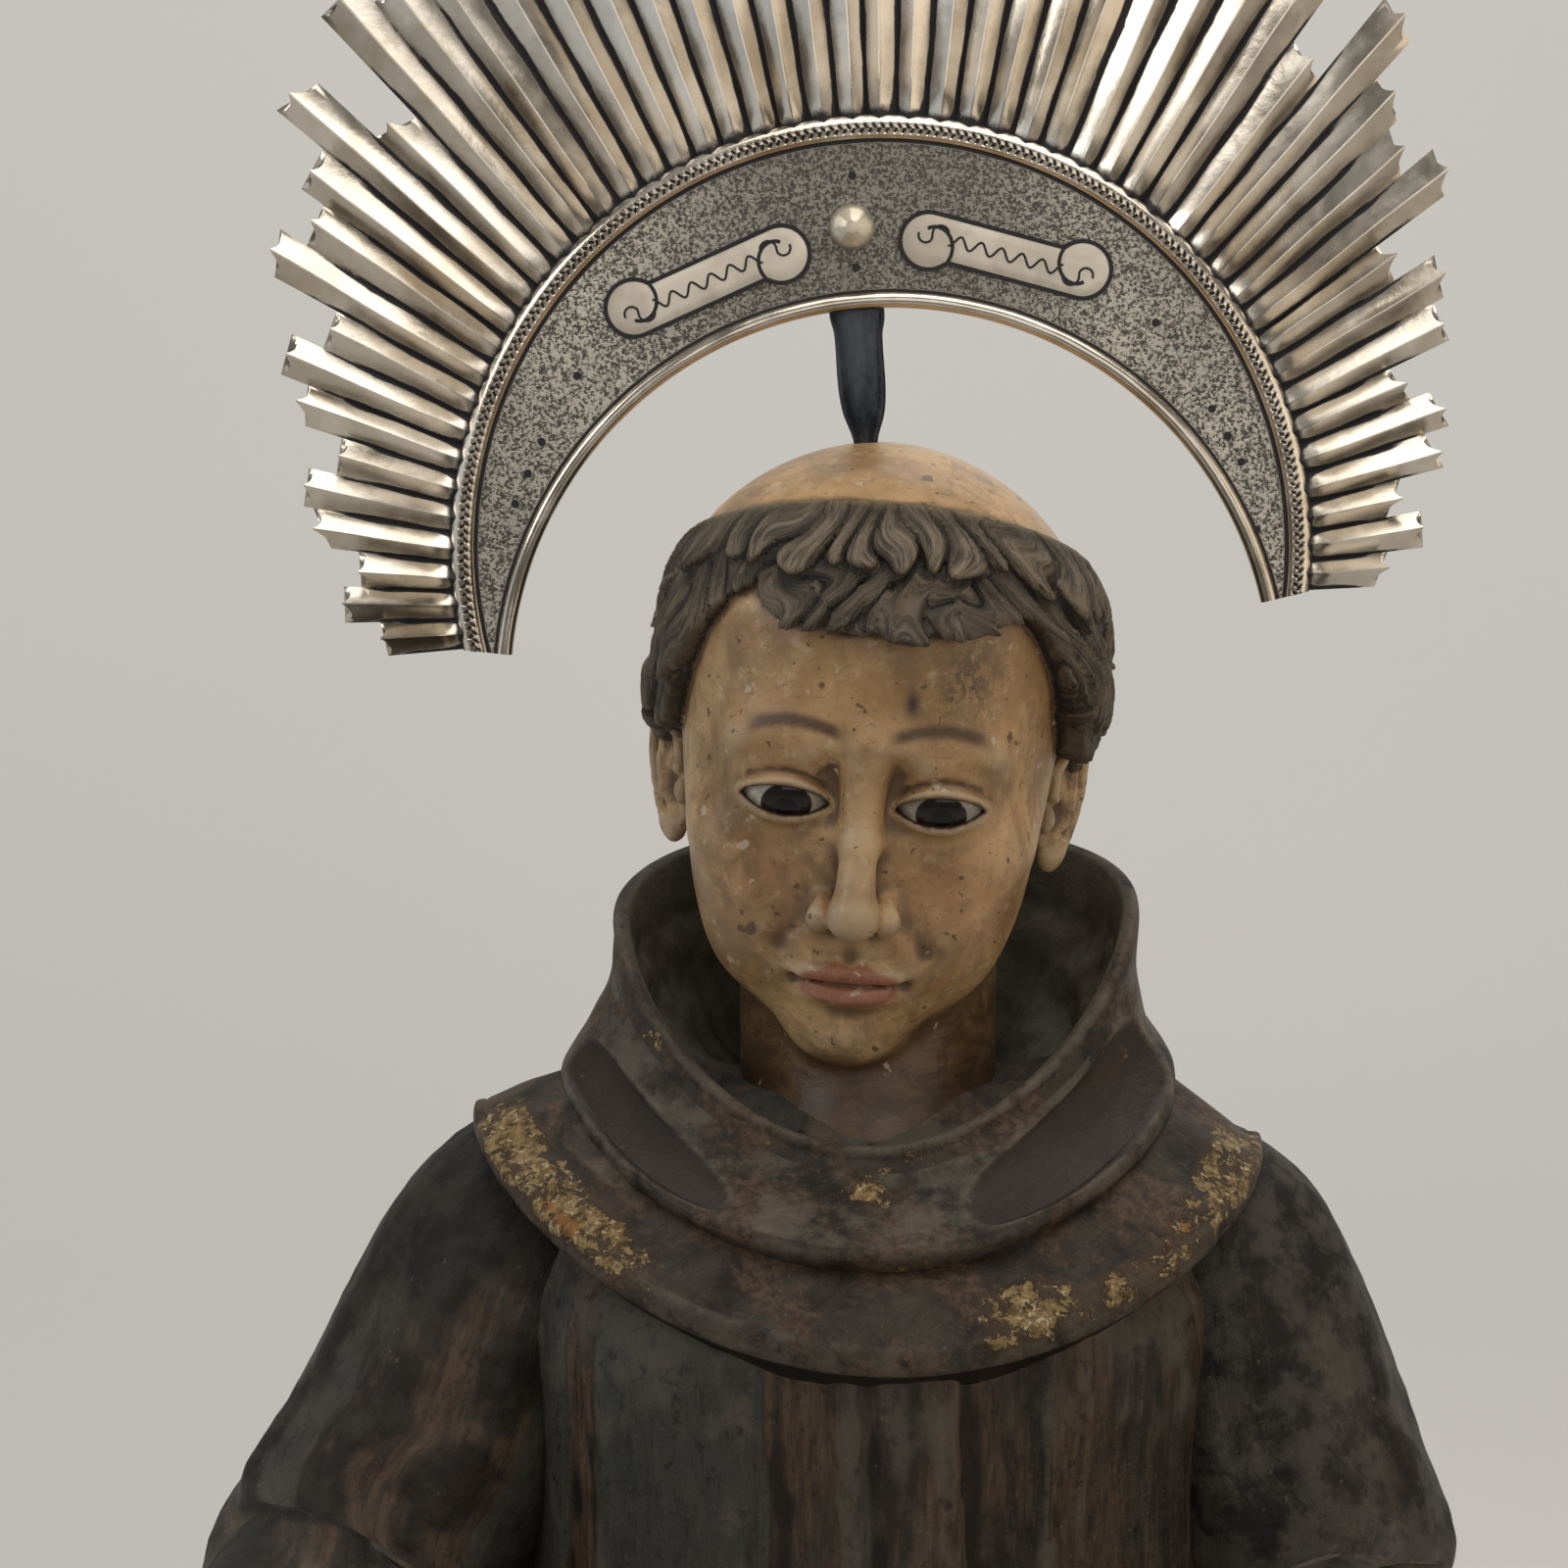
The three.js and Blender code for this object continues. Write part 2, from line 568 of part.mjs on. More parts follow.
function tang(grow) {
  const stations = [
    [TANG.boss, 7, 1.1], [TANG.shoulder + 4, 7.4, 1.3], [TANG.shoulder - 6, 6.2, 1.7], [TANG.waist, 5.6, 2.2],
    [TANG.crown + 7, 4.6, 2.2], [TANG.crown + 1, 2.2, 1.8], [TANG.bottom, 1.6, 1.5],
  ];
  const section = 8;
  const lean = (z) => TANG.x - (z - TANG.crown) * 0.07;
  return ringSolid(stations.map(([z, halfWidth, halfDepth], i) => Array.from({ length: section }, (_, k) => {
    const angle = (2 * Math.PI * (k + 0.5)) / section;
    const down = i === stations.length - 1 ? grow : 0;
    return new THREE.Vector3(
      lean(z) + (halfWidth + grow) * Math.cos(angle) * 1.08,
      TANG.y + (halfDepth + grow) * Math.sin(angle) * 1.08,
      z - down,
    );
  })));
}

function head() {
  const carved = unite([starSolid(faceField, 32, 16), nose(), hairSolid(), ear(-1), ear(1)]);
  const shape = fromManifold(carved, HEAD_MATRIX).add(neck());
  return shape.subtract(eye(-1, GAP)).subtract(eye(1, GAP)).subtract(tang(GAP));
}

// Hand in its own frame: the wrist at the origin, fingers along -y, palm down, thumb to +x
const FINGERS = [
  { base: [-16, -46, 0], lengths: [16, 11, 9], radius: 5.2, bend: 16 },
  { base: [-5.5, -50, 1], lengths: [19, 13, 10], radius: 5.6, bend: 12 },
  { base: [5.5, -50, 1], lengths: [20, 14, 10], radius: 5.8, bend: 9 },
  { base: [16, -47, 0], lengths: [18, 12, 10], radius: 5.6, bend: 7 },
];
const THUMB = { base: [16, -18, -5], lengths: [17, 14, 12], radius: 6.2, bend: 8, splay: 38 };

function finger({ base, lengths, radius, bend, splay = 0 }) {
  const centres = [base];
  const radii = [radius];
  let point = new THREE.Vector3(...base);
  let drop = splay ? 6 : 0;
  lengths.forEach((length, i) => {
    drop += bend;
    const side = splay * (1 - 0.35 * i);
    point = point.clone().add(new THREE.Vector3(
      Math.sin(radians(side)) * length,
      -Math.cos(radians(side)) * Math.cos(radians(drop)) * length,
      -Math.sin(radians(drop)) * length,
    ));
    centres.push(point.toArray());
    radii.push(radius * (1 - 0.1 * (i + 1)));
  });
  const tip = point.clone().add(new THREE.Vector3(0, -radius * 0.5, -radius * 0.3));
  return sectionTube([...centres, tip.toArray()], [...radii, radius * 0.4], [...radii, radius * 0.4], 5);
}

function handSolid(name) {
  const stations = [[30, 14, 12], [0, 14, 11], [-14, 18, 10], [-32, 22, 9], [-50, 22, 7.5], [-56, 19, 5]];
  const centres = stations.map(([y]) => [0, y, 0]);
  const palm = sectionTube(centres, stations.map((s) => s[1]), stations.map((s) => s[2]), 8);
  const whole = fromManifold(unite([palm, ...FINGERS.map(finger), finger(THUMB)]), handMatrix(name));
  const [x, y, z] = SLEEVES[name].centres[SLEEVES[name].centres.length - 1];
  const floor = new THREE.BoxGeometry(120, 80, 120);
  floor.translate(x, y + CUFF.depth - GAP + 40, z);
  return whole.subtract(toManifold(floor));
}

function handMatrix(name) {
  const { centres } = SLEEVES[name];
  const [x, y, z] = centres[centres.length - 1];
  const mirror = name === "right" ? 1 : -1;
  const pose = { right: { palm: 62, lift: 8, toe: 6 }, left: { palm: 150, lift: 4, toe: -8 } }[name];
  return new THREE.Matrix4()
    .makeTranslation(x, y + CUFF.depth - GAP - 22, z + 8)
    .multiply(new THREE.Matrix4().makeRotationZ(radians(-pose.toe)))
    .multiply(new THREE.Matrix4().makeRotationX(radians(-pose.lift)))
    .multiply(new THREE.Matrix4().makeRotationY(radians(mirror * pose.palm)))
    .multiply(new THREE.Matrix4().makeScale(mirror, 1, 1));
}

// Halo in its own upright plane: x across, z up from the centre of the band's outer circle, front towards -y
const rayCount = 2 * RAY_LENGTHS.length - 1;
const haloAngle = (share) => radians(90 + HALO.halfSpan * (1 - 2 * share)); // share 0 is the left end
const onCircle = (radius, angle, drop = 0) => [radius * Math.cos(angle), radius * Math.sin(angle) - drop];

// Point of the inner circle that lies towards the same ray
function innerPoint(share) {
  const [ox, oz] = onCircle(HALO.outerRadius, haloAngle(share));
  const rise = HALO.innerDrop + 24 * (1 - Math.abs(2 * share - 1));
  return onCircle(HALO.innerRadius, Math.atan2(oz + rise, ox), HALO.innerDrop);
}

function haloBand() {
  const steps = 30;
  const { rimRadius, ropeWidth, ropeHeight } = HALO;
  const ground = -HALO.sheet / 2;
  return ringSolid(Array.from({ length: steps + 1 }, (_, i) => {
    const share = i / steps;
    const [ox, oz] = onCircle(HALO.outerRadius, haloAngle(share));
    const [ix, iz] = innerPoint(share);
    const width = Math.hypot(ox - ix, oz - iz);
    const at = (distance, y) => {
      const t = distance / width;
      return new THREE.Vector3(lerp(ix, ox, t), y, lerp(iz, oz, t));
    };
    const back = [at(0, -ground), at(width, -ground)];
    const rope = [at(width, ground - 0.4), at(width - ropeWidth / 2, ground - ropeHeight), at(width - ropeWidth, ground)];
    const rim = [at(2 * rimRadius, ground), at(rimRadius, ground - rimRadius), at(0, ground)];
    return [...back, ...rope, ...rim];
  }));
}

// One ray: a strip with a raised crest, its end cut to a spike between two points
function ray(i) {
  const length = RAY_LENGTHS[Math.min(i, rayCount - 1 - i)];
  const corner = (share, reach, y) => {
    const [ox, oz] = onCircle(HALO.outerRadius - 1.5, haloAngle(share));
    const spread = Math.atan2(oz + HALO.rayDrop, ox);
    return new THREE.Vector3(ox + Math.cos(spread) * reach, y, oz + Math.sin(spread) * reach);
  };
  const back = HALO.sheet / 2;
  const [left, middle, right] = [i / rayCount, (i + 0.5) / rayCount, (i + 1) / rayCount];
  const section = (edgeReach, crestReach) => [
    corner(left, edgeReach, back), corner(right, edgeReach, back),
    corner(right, edgeReach, back - HALO.rayEdge), corner(middle, crestReach, back - HALO.rayCrest),
    corner(left, edgeReach, back - HALO.rayEdge),
  ];
  const spike = 3;
  return ringSolid([section(0, 0), section(length - spike, length)]);
}

const HALO_MATRIX = new THREE.Matrix4()
  .makeTranslation(...HALO.centre)
  .multiply(new THREE.Matrix4().makeRotationY(radians(HALO.roll)));

function halo() {
  const rays = Array.from({ length: rayCount }, (_, i) => ray(i));
  return fromManifold(unite([haloBand(), ...rays]), HALO_MATRIX);
}

const BOSS = { radius: 6.2, up: 86, left: 2 };

function boss() {
  const steps = 4;
  const dome = Array.from({ length: steps + 1 }, (_, i) => {
    const turn = (Math.PI / 2) * (i / steps);
    return new THREE.Vector2(BOSS.radius * Math.cos(turn), BOSS.radius * 0.95 * Math.sin(turn));
  });
  dome[steps].x = 0;
  const lathe = new THREE.LatheGeometry([new THREE.Vector2(0, 0), ...dome], 14);
  lathe.applyMatrix4(new THREE.Matrix4().makeRotationX(Math.PI));
  lathe.applyMatrix4(new THREE.Matrix4().makeTranslation(-BOSS.left, -HALO.sheet / 2 - GAP, BOSS.up));
  return toManifold(lathe.applyMatrix4(HALO_MATRIX));
}

// Plinth: a low block with canted corners and a chamfered top
function plinth() {
  const { halfWidth, halfDepth, corner, height, chamfer, taper } = PLINTH;
  const outline = (inset, z) => {
    const [w, d, c] = [halfWidth - inset, halfDepth - inset, corner - inset * 0.4];
    return [[w, -d + c], [w, d - c], [w - c, d], [c - w, d], [-w, d - c], [-w, c - d], [c - w, -d], [w - c, -d]]
      .map(([x, y]) => new THREE.Vector3(x, y, z));
  };
  const foot = [outline(0, 0), outline(0, 14), outline(taper, 18)];
  const moulding = [outline(taper, height - chamfer - 4), outline(taper - 4, height - chamfer)];
  return ringSolid([...foot, ...moulding, outline(taper - 4, height - 3), outline(taper - 1, height)]);
}

function paint(color, roughness, metalness = 0) {
  return new THREE.MeshStandardMaterial({ color, roughness, metalness });
}

const MATERIALS = {
  habit: paint(0x3b332c, 0.6),
  flesh: paint(0xb08a63, 0.5),
  glass: paint(0x0d0d10, 0.08),
  silver: paint(0xa89c8c, 0.32, 1),
  iron: paint(0x2c3036, 0.42, 1),
  plinth: paint(0x2a211a, 0.55),
};

function piece(name, solid, material) {
  const mesh = new THREE.Mesh(toGeometry(solid), material);
  mesh.name = name;
  return mesh;
}

const statue = new THREE.Group();
statue.add(
  piece("plinth", plinth(), MATERIALS.plinth),
  piece("habit", habit(), MATERIALS.habit),
  piece("head", head(), MATERIALS.flesh),
  piece("right_eye", eye(-1), MATERIALS.glass),
  piece("left_eye", eye(1), MATERIALS.glass),
  piece("right_hand", handSolid("right"), MATERIALS.flesh),
  piece("left_hand", handSolid("left"), MATERIALS.flesh),
  piece("halo", halo(), MATERIALS.silver),
  piece("halo_boss", boss(), MATERIALS.silver),
  piece("halo_tang", tang(0), MATERIALS.iron),
);

export default statue;
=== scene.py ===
# The look of a carved and painted wooden friar saint with a silver halo of rays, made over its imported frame.
# Shapes are worked out in millimetres in the part's own frame, and go into Blender in metres.
import itertools
import math

import bpy
import numpy as np
from mathutils import Matrix, Vector


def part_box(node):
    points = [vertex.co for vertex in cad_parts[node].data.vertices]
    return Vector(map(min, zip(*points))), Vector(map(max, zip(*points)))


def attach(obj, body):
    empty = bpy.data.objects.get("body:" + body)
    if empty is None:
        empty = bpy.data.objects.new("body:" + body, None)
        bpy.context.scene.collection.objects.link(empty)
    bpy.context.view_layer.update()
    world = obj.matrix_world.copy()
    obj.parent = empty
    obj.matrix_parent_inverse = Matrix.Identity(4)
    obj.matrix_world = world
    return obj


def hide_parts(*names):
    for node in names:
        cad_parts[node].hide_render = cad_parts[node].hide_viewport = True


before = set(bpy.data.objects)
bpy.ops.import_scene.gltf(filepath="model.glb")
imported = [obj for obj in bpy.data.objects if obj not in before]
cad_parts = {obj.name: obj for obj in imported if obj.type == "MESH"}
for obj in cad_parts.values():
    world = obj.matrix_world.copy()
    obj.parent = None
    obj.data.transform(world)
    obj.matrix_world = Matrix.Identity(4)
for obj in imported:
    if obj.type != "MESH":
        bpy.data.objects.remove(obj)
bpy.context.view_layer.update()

COARSE = 1.0

# The photo's place in front of the statue
PHOTO_WIDTH = 1600  # in pixels, and so is its focal length
FOCAL_PIXELS = 4869
PIXEL = 0.2665  # width of one of its pixels at the statue
CAMERA_X, CAMERA_Z = -23, 978  # the point that the photo's middle looks at

# Driving dimensions, the same as in the part's source
GAP = 0.3
HEM_Z = 50.3
WAIST_Z = 642
SHOULDER_Z = 898
CORD_RADIUS = 6
CAPE_EDGE = 7
HOOD_WALL = 5
NECK = {"y": 3, "half_width": 35, "back": 36, "bottom": 864, "bend": 886, "top": 955, "lean": 0.1}
HEAD_SCALE = 155 / 150
HEAD_CENTRE = np.array([0, -13, 991.5])
HEAD_PITCH, HEAD_ROLL, HEAD_YAW = 14, 4, 2
HAIR_CENTRE, HAIR_RADII = (1.6, 3, 13), (60.5, 68.5, 63)
CROWN_TILT, CROWN_DISTANCE = 33, 48
EYE = {"x": 19.5, "y": -42, "z": 0, "radius": 10.4, "back": 2}
HALO = {
    "centre": (3, -14, 1043), "roll": -4, "outer": 115.4, "inner": 102, "inner_drop": 38, "ray_drop": 17,
    "half_span": 99.7, "sheet": 1.4, "rim": 2.2, "rope_width": 6.8, "rope_height": 1.8, "crest": 4.2,
    "edge": 1.3,
}
RAY_LENGTHS = [
    23, 32, 27, 39, 42, 34, 48, 54, 45, 68, 62, 69, 85,
    60, 92, 84, 99, 90, 104, 74, 101, 110, 80, 106, 113, 116,
]
SLEEVES = {
    "right": {
        "centres": [[-66, 8, 862], [-93, 2, 849], [-119, -10, 798], [-142, -26, 757], [-150, -66, 740],
                    [-155, -118, 738], [-156, -168, 736]],
        "half_widths": [31, 38, 41, 40, 38, 40, 47],
        "half_heights": [30, 38, 41, 43, 43, 48, 60],
    },
    "left": {
        "centres": [[66, 8, 858], [92, 2, 844], [111, -10, 793], [124.5, -24, 748], [128, -60, 732],
                    [124, -112, 729], [119, -162, 727]],
        "half_widths": [31, 38, 40, 38.5, 38, 39, 46],
        "half_heights": [30, 38, 40, 42, 43, 48, 60],
    },
}
CUFF_WALL, CUFF_DEPTH = 6, 24


def lerp(a, b, t):
    return a + (b - a) * t


def smoothstep(x, low, high):
    t = np.clip((x - low) / (high - low), 0, 1)
    return t * t * (3 - 2 * t)


def bell(x, power=2):
    return np.exp(-(x**power))


def squared(value, power):
    """Sine or cosine bent so that the oval it draws is squarer or rounder."""
    return np.sign(value) * np.abs(value) ** power


def smooth(knots):
    """Smooth curve through knots of position and value."""
    xs, ys = np.array(knots, float).T
    slopes = np.empty(len(xs))
    slopes[1:-1] = (ys[2:] - ys[:-2]) / (xs[2:] - xs[:-2])
    slopes[0] = (ys[1] - ys[0]) / (xs[1] - xs[0])
    slopes[-1] = (ys[-1] - ys[-2]) / (xs[-1] - xs[-2])
    return lambda t: hermite(xs, ys, slopes, t)


def hermite(xs, ys, slopes, t):
    t = np.clip(t, xs[0], xs[-1])
    i = np.clip(np.searchsorted(xs, t, side="right") - 1, 0, len(xs) - 2)
    span = xs[i + 1] - xs[i]
    u = (t - xs[i]) / span
    if np.ndim(ys) > 1:
        shape = (-1,) + (1,) * (np.ndim(ys) - 1)
        u, span = u.reshape(shape), span.reshape(shape)
    return (
        (2 * u**3 - 3 * u**2 + 1) * ys[i]
        + (u**3 - 2 * u**2 + u) * span * slopes[i]
        + (3 * u**2 - 2 * u**3) * ys[i + 1]
        + (u**3 - u**2) * span * slopes[i + 1]
    )


def skin(rings, steps):
    """Rings passed smoothly through a few given rings, with that many steps between each two."""
    rings = np.array(rings, float)
    gaps = np.linalg.norm(rings[1:] - rings[:-1], axis=2).mean(1) + 1e-6
    at = np.concatenate([[0], np.cumsum(gaps)])
    slopes = np.empty_like(rings)
    wide = (at[2:] - at[:-2]).reshape(-1, 1, 1)
    slopes[1:-1] = (rings[2:] - rings[:-2]) / wide
    slopes[0] = (rings[1] - rings[0]) / gaps[0]
    slopes[-1] = (rings[-1] - rings[-2]) / gaps[-1]
    times = [lerp(at[i], at[i + 1], np.arange(n) / n) for i, n in enumerate(steps)]
    return hermite(at, rings, slopes, np.concatenate([*times, [at[-1]]]))


def wobble(points, size, seed):
    """Soft random swell of about one in height, made of crossing waves."""
    rng = np.random.default_rng(seed)
    total = np.zeros(points.shape[:-1])
    for _ in range(7):
        direction = rng.normal(size=3)
        direction /= np.linalg.norm(direction)
        rate = 2 * np.pi / (size * rng.uniform(0.7, 1.5))
        total += np.sin(points @ direction * rate + rng.uniform(0, 6.3))
    return total / 3


# Meshes
def mesh_object(name, points, faces, marks=None, smooth_angle=None):
    """Object made of points in millimetres and lists of faces, with named marks on its points."""
    faces = [np.asarray(f, np.int32) for f in faces if len(f)]
    corners = np.concatenate([f.ravel() for f in faces])
    sizes = np.concatenate([np.full(len(f), f.shape[1], np.int32) for f in faces])
    starts = np.concatenate([[0], np.cumsum(sizes)[:-1]]).astype(np.int32)
    mesh = bpy.data.meshes.new(name)
    mesh.vertices.add(len(points))
    mesh.vertices.foreach_set("co", (np.asarray(points) * 0.001).astype(np.float32).ravel())
    mesh.loops.add(len(corners))
    mesh.loops.foreach_set("vertex_index", corners)
    mesh.polygons.add(len(sizes))
    mesh.polygons.foreach_set("loop_start", starts)
    mesh.polygons.foreach_set("use_smooth", np.ones(len(sizes), bool))
    mesh.update(calc_edges=True)
    mesh.validate()
    for key, values in (marks or {}).items():
        values = np.asarray(values, np.float32)
        if values.ndim == 2:
            mesh.attributes.new(key, "FLOAT_VECTOR", "POINT").data.foreach_set("vector", values.ravel())
        else:
            mesh.attributes.new(key, "FLOAT", "POINT").data.foreach_set("value", values)
    if smooth_angle:
        mesh.set_sharp_from_angle(angle=math.radians(smooth_angle))
    made = bpy.data.objects.new(name, mesh)
    bpy.context.scene.collection.objects.link(made)
    return made


def grid_faces(rows, columns):
    r, k = np.meshgrid(np.arange(rows - 1), np.arange(columns), indexing="ij")
    a, b = r * columns + k, r * columns + (k + 1) % columns
    return np.stack([a, b, b + columns, a + columns], -1).reshape(-1, 4)


def tubes(parts):
    """Points, faces and marks of closed tubes, each given by its rings and its marks, as one mesh."""
    points, quads, caps, flat = [], [], [], {}
    keys = dict.fromkeys(key for _, marks in parts for key in marks)
    offset = 0
    for rings, marks in parts:
        rows, columns = rings.shape[:2]
        k = np.arange(columns)
        following = (k + 1) % columns
        first, top = offset + rows * columns, offset + (rows - 1) * columns
        points += [rings.reshape(-1, 3), rings[0].mean(0)[None], rings[-1].mean(0)[None]]
        quads.append(grid_faces(rows, columns) + offset)
        caps.append(np.stack([np.full(columns, first), offset + following, offset + k], -1))
        caps.append(np.stack([np.full(columns, first + 1), top + k, top + following], -1))
        for key in keys:
            values = np.asarray(marks.get(key, np.zeros((rows, columns))))
            ends = np.stack([values[0].mean(0), values[-1].mean(0)])
            flat.setdefault(key, []).append(np.concatenate([values.reshape(-1, *values.shape[2:]), ends]))
        offset = first + 2
    faces = [np.concatenate(quads), np.concatenate(caps)]
    return np.concatenate(points), faces, {key: np.concatenate(values) for key, values in flat.items()}


def loft(name, rings, marks=None, smooth_angle=None):
    """Closed tube through rings, with a flat cap at each end."""
    marks = {"ridge": np.clip(relief_of(rings), -2, 2), **(marks or {})}
    return mesh_object(name, *tubes([(rings, marks)]), smooth_angle)


def angles(n):
    return np.linspace(0, 2 * np.pi, n, endpoint=False)


def oval(n, half_width, front, back, height, x=0.0, y=0.0, power=2.0, push=None):
    a = angles(n)
    c, s = np.cos(a), np.sin(a)
    px = half_width * squared(c, 2 / power)
    py = np.where(s < 0, front, back) * squared(s, 2 / power)
    reach = 1 if push is None else 1 + push(a) / np.hypot(px, py)
    z = height(a) if callable(height) else np.full(n, float(height))
    return np.stack([x + px * reach, y + py * reach, z], -1)


def saddle(side, front, back, front_sharpness=1.6, back_sharpness=1.6):
    def height(a):
        s = np.sin(a)
        forward = side + (front - side) * np.clip(-s, 0, 1) ** front_sharpness
        return np.where(s < 0, forward, side + (back - side) * np.clip(s, 0, 1) ** back_sharpness)
    return height


def normals_of(rings):
    """Outward normals of a tube of rings."""
    around = np.roll(rings, -1, 1) - np.roll(rings, 1, 1)
    along = np.gradient(rings, axis=0)
    n = np.cross(around, along)
    return n / (np.linalg.norm(n, axis=2, keepdims=True) + 1e-9)


def relief_of(rings, reach=2, turns=3):
    """How far each point of a tube of rings stands proud of its smoothed surroundings."""
    soft = rings
    for _ in range(turns):
        soft = (soft + np.roll(soft, reach, 1) + np.roll(soft, -reach, 1)) / 3
        wide = np.concatenate([soft[:1]] * reach + [soft] + [soft[-1:]] * reach)
        soft = (soft + wide[:-2 * reach] + wide[2 * reach:]) / 3
    return ((rings - soft) * normals_of(rings)).sum(-1)


# Habit
ROBE_WIDTH = smooth([[50, 160], [62, 163], [200, 146], [400, 122], [560, 106], [642, 95], [700, 98],
                     [790, 93], [850, 92], [884, 66], [898, 42]])
ROBE_FRONT = smooth([[50, 114], [62, 117], [200, 107], [400, 97], [560, 90], [642, 79], [700, 85],
                     [800, 89.5], [842, 89], [856, 77], [884, 52], [898, 34]])
ROBE_BACK = smooth([[50, 112], [62, 115], [200, 103], [400, 91], [560, 84], [642, 74], [700, 80], [790, 82],
                    [850, 80], [884, 56], [898, 36]])
ROBE_POWER = 2.25
SKIRT_FOLDS = 13
ARMPIT_GROOVE = 2.5
# Upright panels of the chest: where each starts, degrees around, its height and its tone
FRONT_PANELS = [
    (180, 1.2, -0.6), (212.5, -0.5, 0.7), (221.5, 1.6, -1.0), (254.5, -1.0, 0.9), (266, 0.6, -0.5),
    (270, 1.5, 0.0), (282.5, -1.2, 0.8), (298.5, -0.3, 1.3), (305.5, -0.6, 0.5), (317.5, 1.3, 0.8),
    (345, -1.0, 0.9),
]
BACK_HEIGHTS = (1.4, -1, 1.2, 0.5, -1.1, 1.5, 0.7, -1, 1.3, -0.8)
BACK_TONES = (-1, 0.8, 0, -0.6, 1) * 2
BACK_STARTS = [(358 + 18.2 * i) % 360 for i in range(len(BACK_HEIGHTS))]
CHEST_PANELS = np.array(sorted([*FRONT_PANELS, *zip(BACK_STARTS, BACK_HEIGHTS, BACK_TONES)]))


def chest_panel(a, z):
    """Broad upright panels of the chest: share across one from -1 to 1, its height and its tone."""
    a = (np.degrees(a) + 1.3 * np.sin(z / 47 + 3 * a)) % 360
    number = (np.searchsorted(CHEST_PANELS[:, 0], a, side="right") - 1) % len(CHEST_PANELS)
    low = CHEST_PANELS[number, 0]
    wide = (CHEST_PANELS[(number + 1) % len(CHEST_PANELS), 0] - low) % 360
    return 2 * ((a - low) % 360) / wide - 1, CHEST_PANELS[number, 1], CHEST_PANELS[number, 2]


def robe_fold(a, z):
    phase = SKIRT_FOLDS * a + 1.3 * np.sin(2 * a + 0.6) + 0.9 * np.sin(z / 150)
    fan = np.cos(phase) + 0.35 * np.cos(2 * phase + 1) + 0.3 * np.cos(7 * a + z / 190)
    below = np.clip((WAIST_Z - 14 - z) / 560, 0, 1) ** 0.7
    gathers = np.cos((SKIRT_FOLDS + 5) * a + 0.8 * np.sin(3 * a))
    near_waist = bell((z - WAIST_Z) / 55)
    chest = smoothstep(z, WAIST_Z, WAIST_Z + 60) * (1 - smoothstep(z, 830, 870))
    across, height, tone = chest_panel(a, z)
    panel = 1.5 * height * (1 - np.abs(across) ** 5) + 0.6 * tone * across
    beside = smoothstep(np.abs(np.cos(a)), 0.86, 0.96)
    beside = beside * smoothstep(z, 690, 740) * (1 - smoothstep(z, 815, 850))
    return 8.5 * below * fan + 2.2 * near_waist * gathers + chest * panel - ARMPIT_GROOVE * beside


def robe():
    n = int(420 / COARSE)
    levels = np.concatenate([
        [HEM_Z, HEM_Z + 1.5, HEM_Z + 4],
        np.linspace(60, 600, int(90 / COARSE)),
        np.linspace(605, 690, int(36 / COARSE)),
        np.linspace(693, 850, int(64 / COARSE)),
        np.linspace(853, SHOULDER_Z, int(14 / COARSE)),
    ])
    rings = []
    for z in levels:
        sizes = ROBE_WIDTH(z), ROBE_FRONT(z), ROBE_BACK(z)
        rings.append(oval(n, *sizes, z, power=ROBE_POWER, push=lambda a, z=z: robe_fold(a, z)))
    rings = np.array(rings)
    rings[0] = lerp(rings[0].mean(0), rings[0], 0.985)
    body = rings[2:-2]
    carved = 0.5 * wobble(body * [1, 1, 0.35], 26, 3) + 0.22 * wobble(body * [1, 1, 0.5], 9, 4)
    rings[2:-2] += normals_of(rings)[2:-2] * carved[..., None]
    _, _, tone = chest_panel(angles(n)[None, :], levels[:, None])
    marks = {"flow": rings * [1, 1, 0.12] * 0.001, "tint": tone * smoothstep(levels, 560, 700)[:, None]}
    return loft("robe", rings, marks)


CAPE_TINT = 0.4  # the cape and hood are a little redder than the robe
# Gold border of the cape: how much of it is left and how wide it is, by degrees around
GOLD_LEFT = smooth([
    [0, 0.3], [8, 0.1], [16, 0], [172, 0], [182, 0.45], [192, 0.75], [198, 1], [222, 1], [232, 0.75],
    [240, 0.25], [247, 0], [283, 0], [288, 0.6], [293, 0.95], [299, 0.75], [302, 0.4], [306, 0.85],
    [311, 0.8], [316, 0.55], [328, 0.75], [340, 0.9], [350, 0.8], [360, 0.3],
])
GOLD_WIDTH = smooth([
    [0, 0.35], [172, 0.4], [192, 0.56], [215, 0.56], [230, 0.46], [247, 0.34], [284, 0.5], [296, 0.5],
    [302, 0.38], [318, 0.36], [332, 0.5], [350, 0.55], [360, 0.35],
])


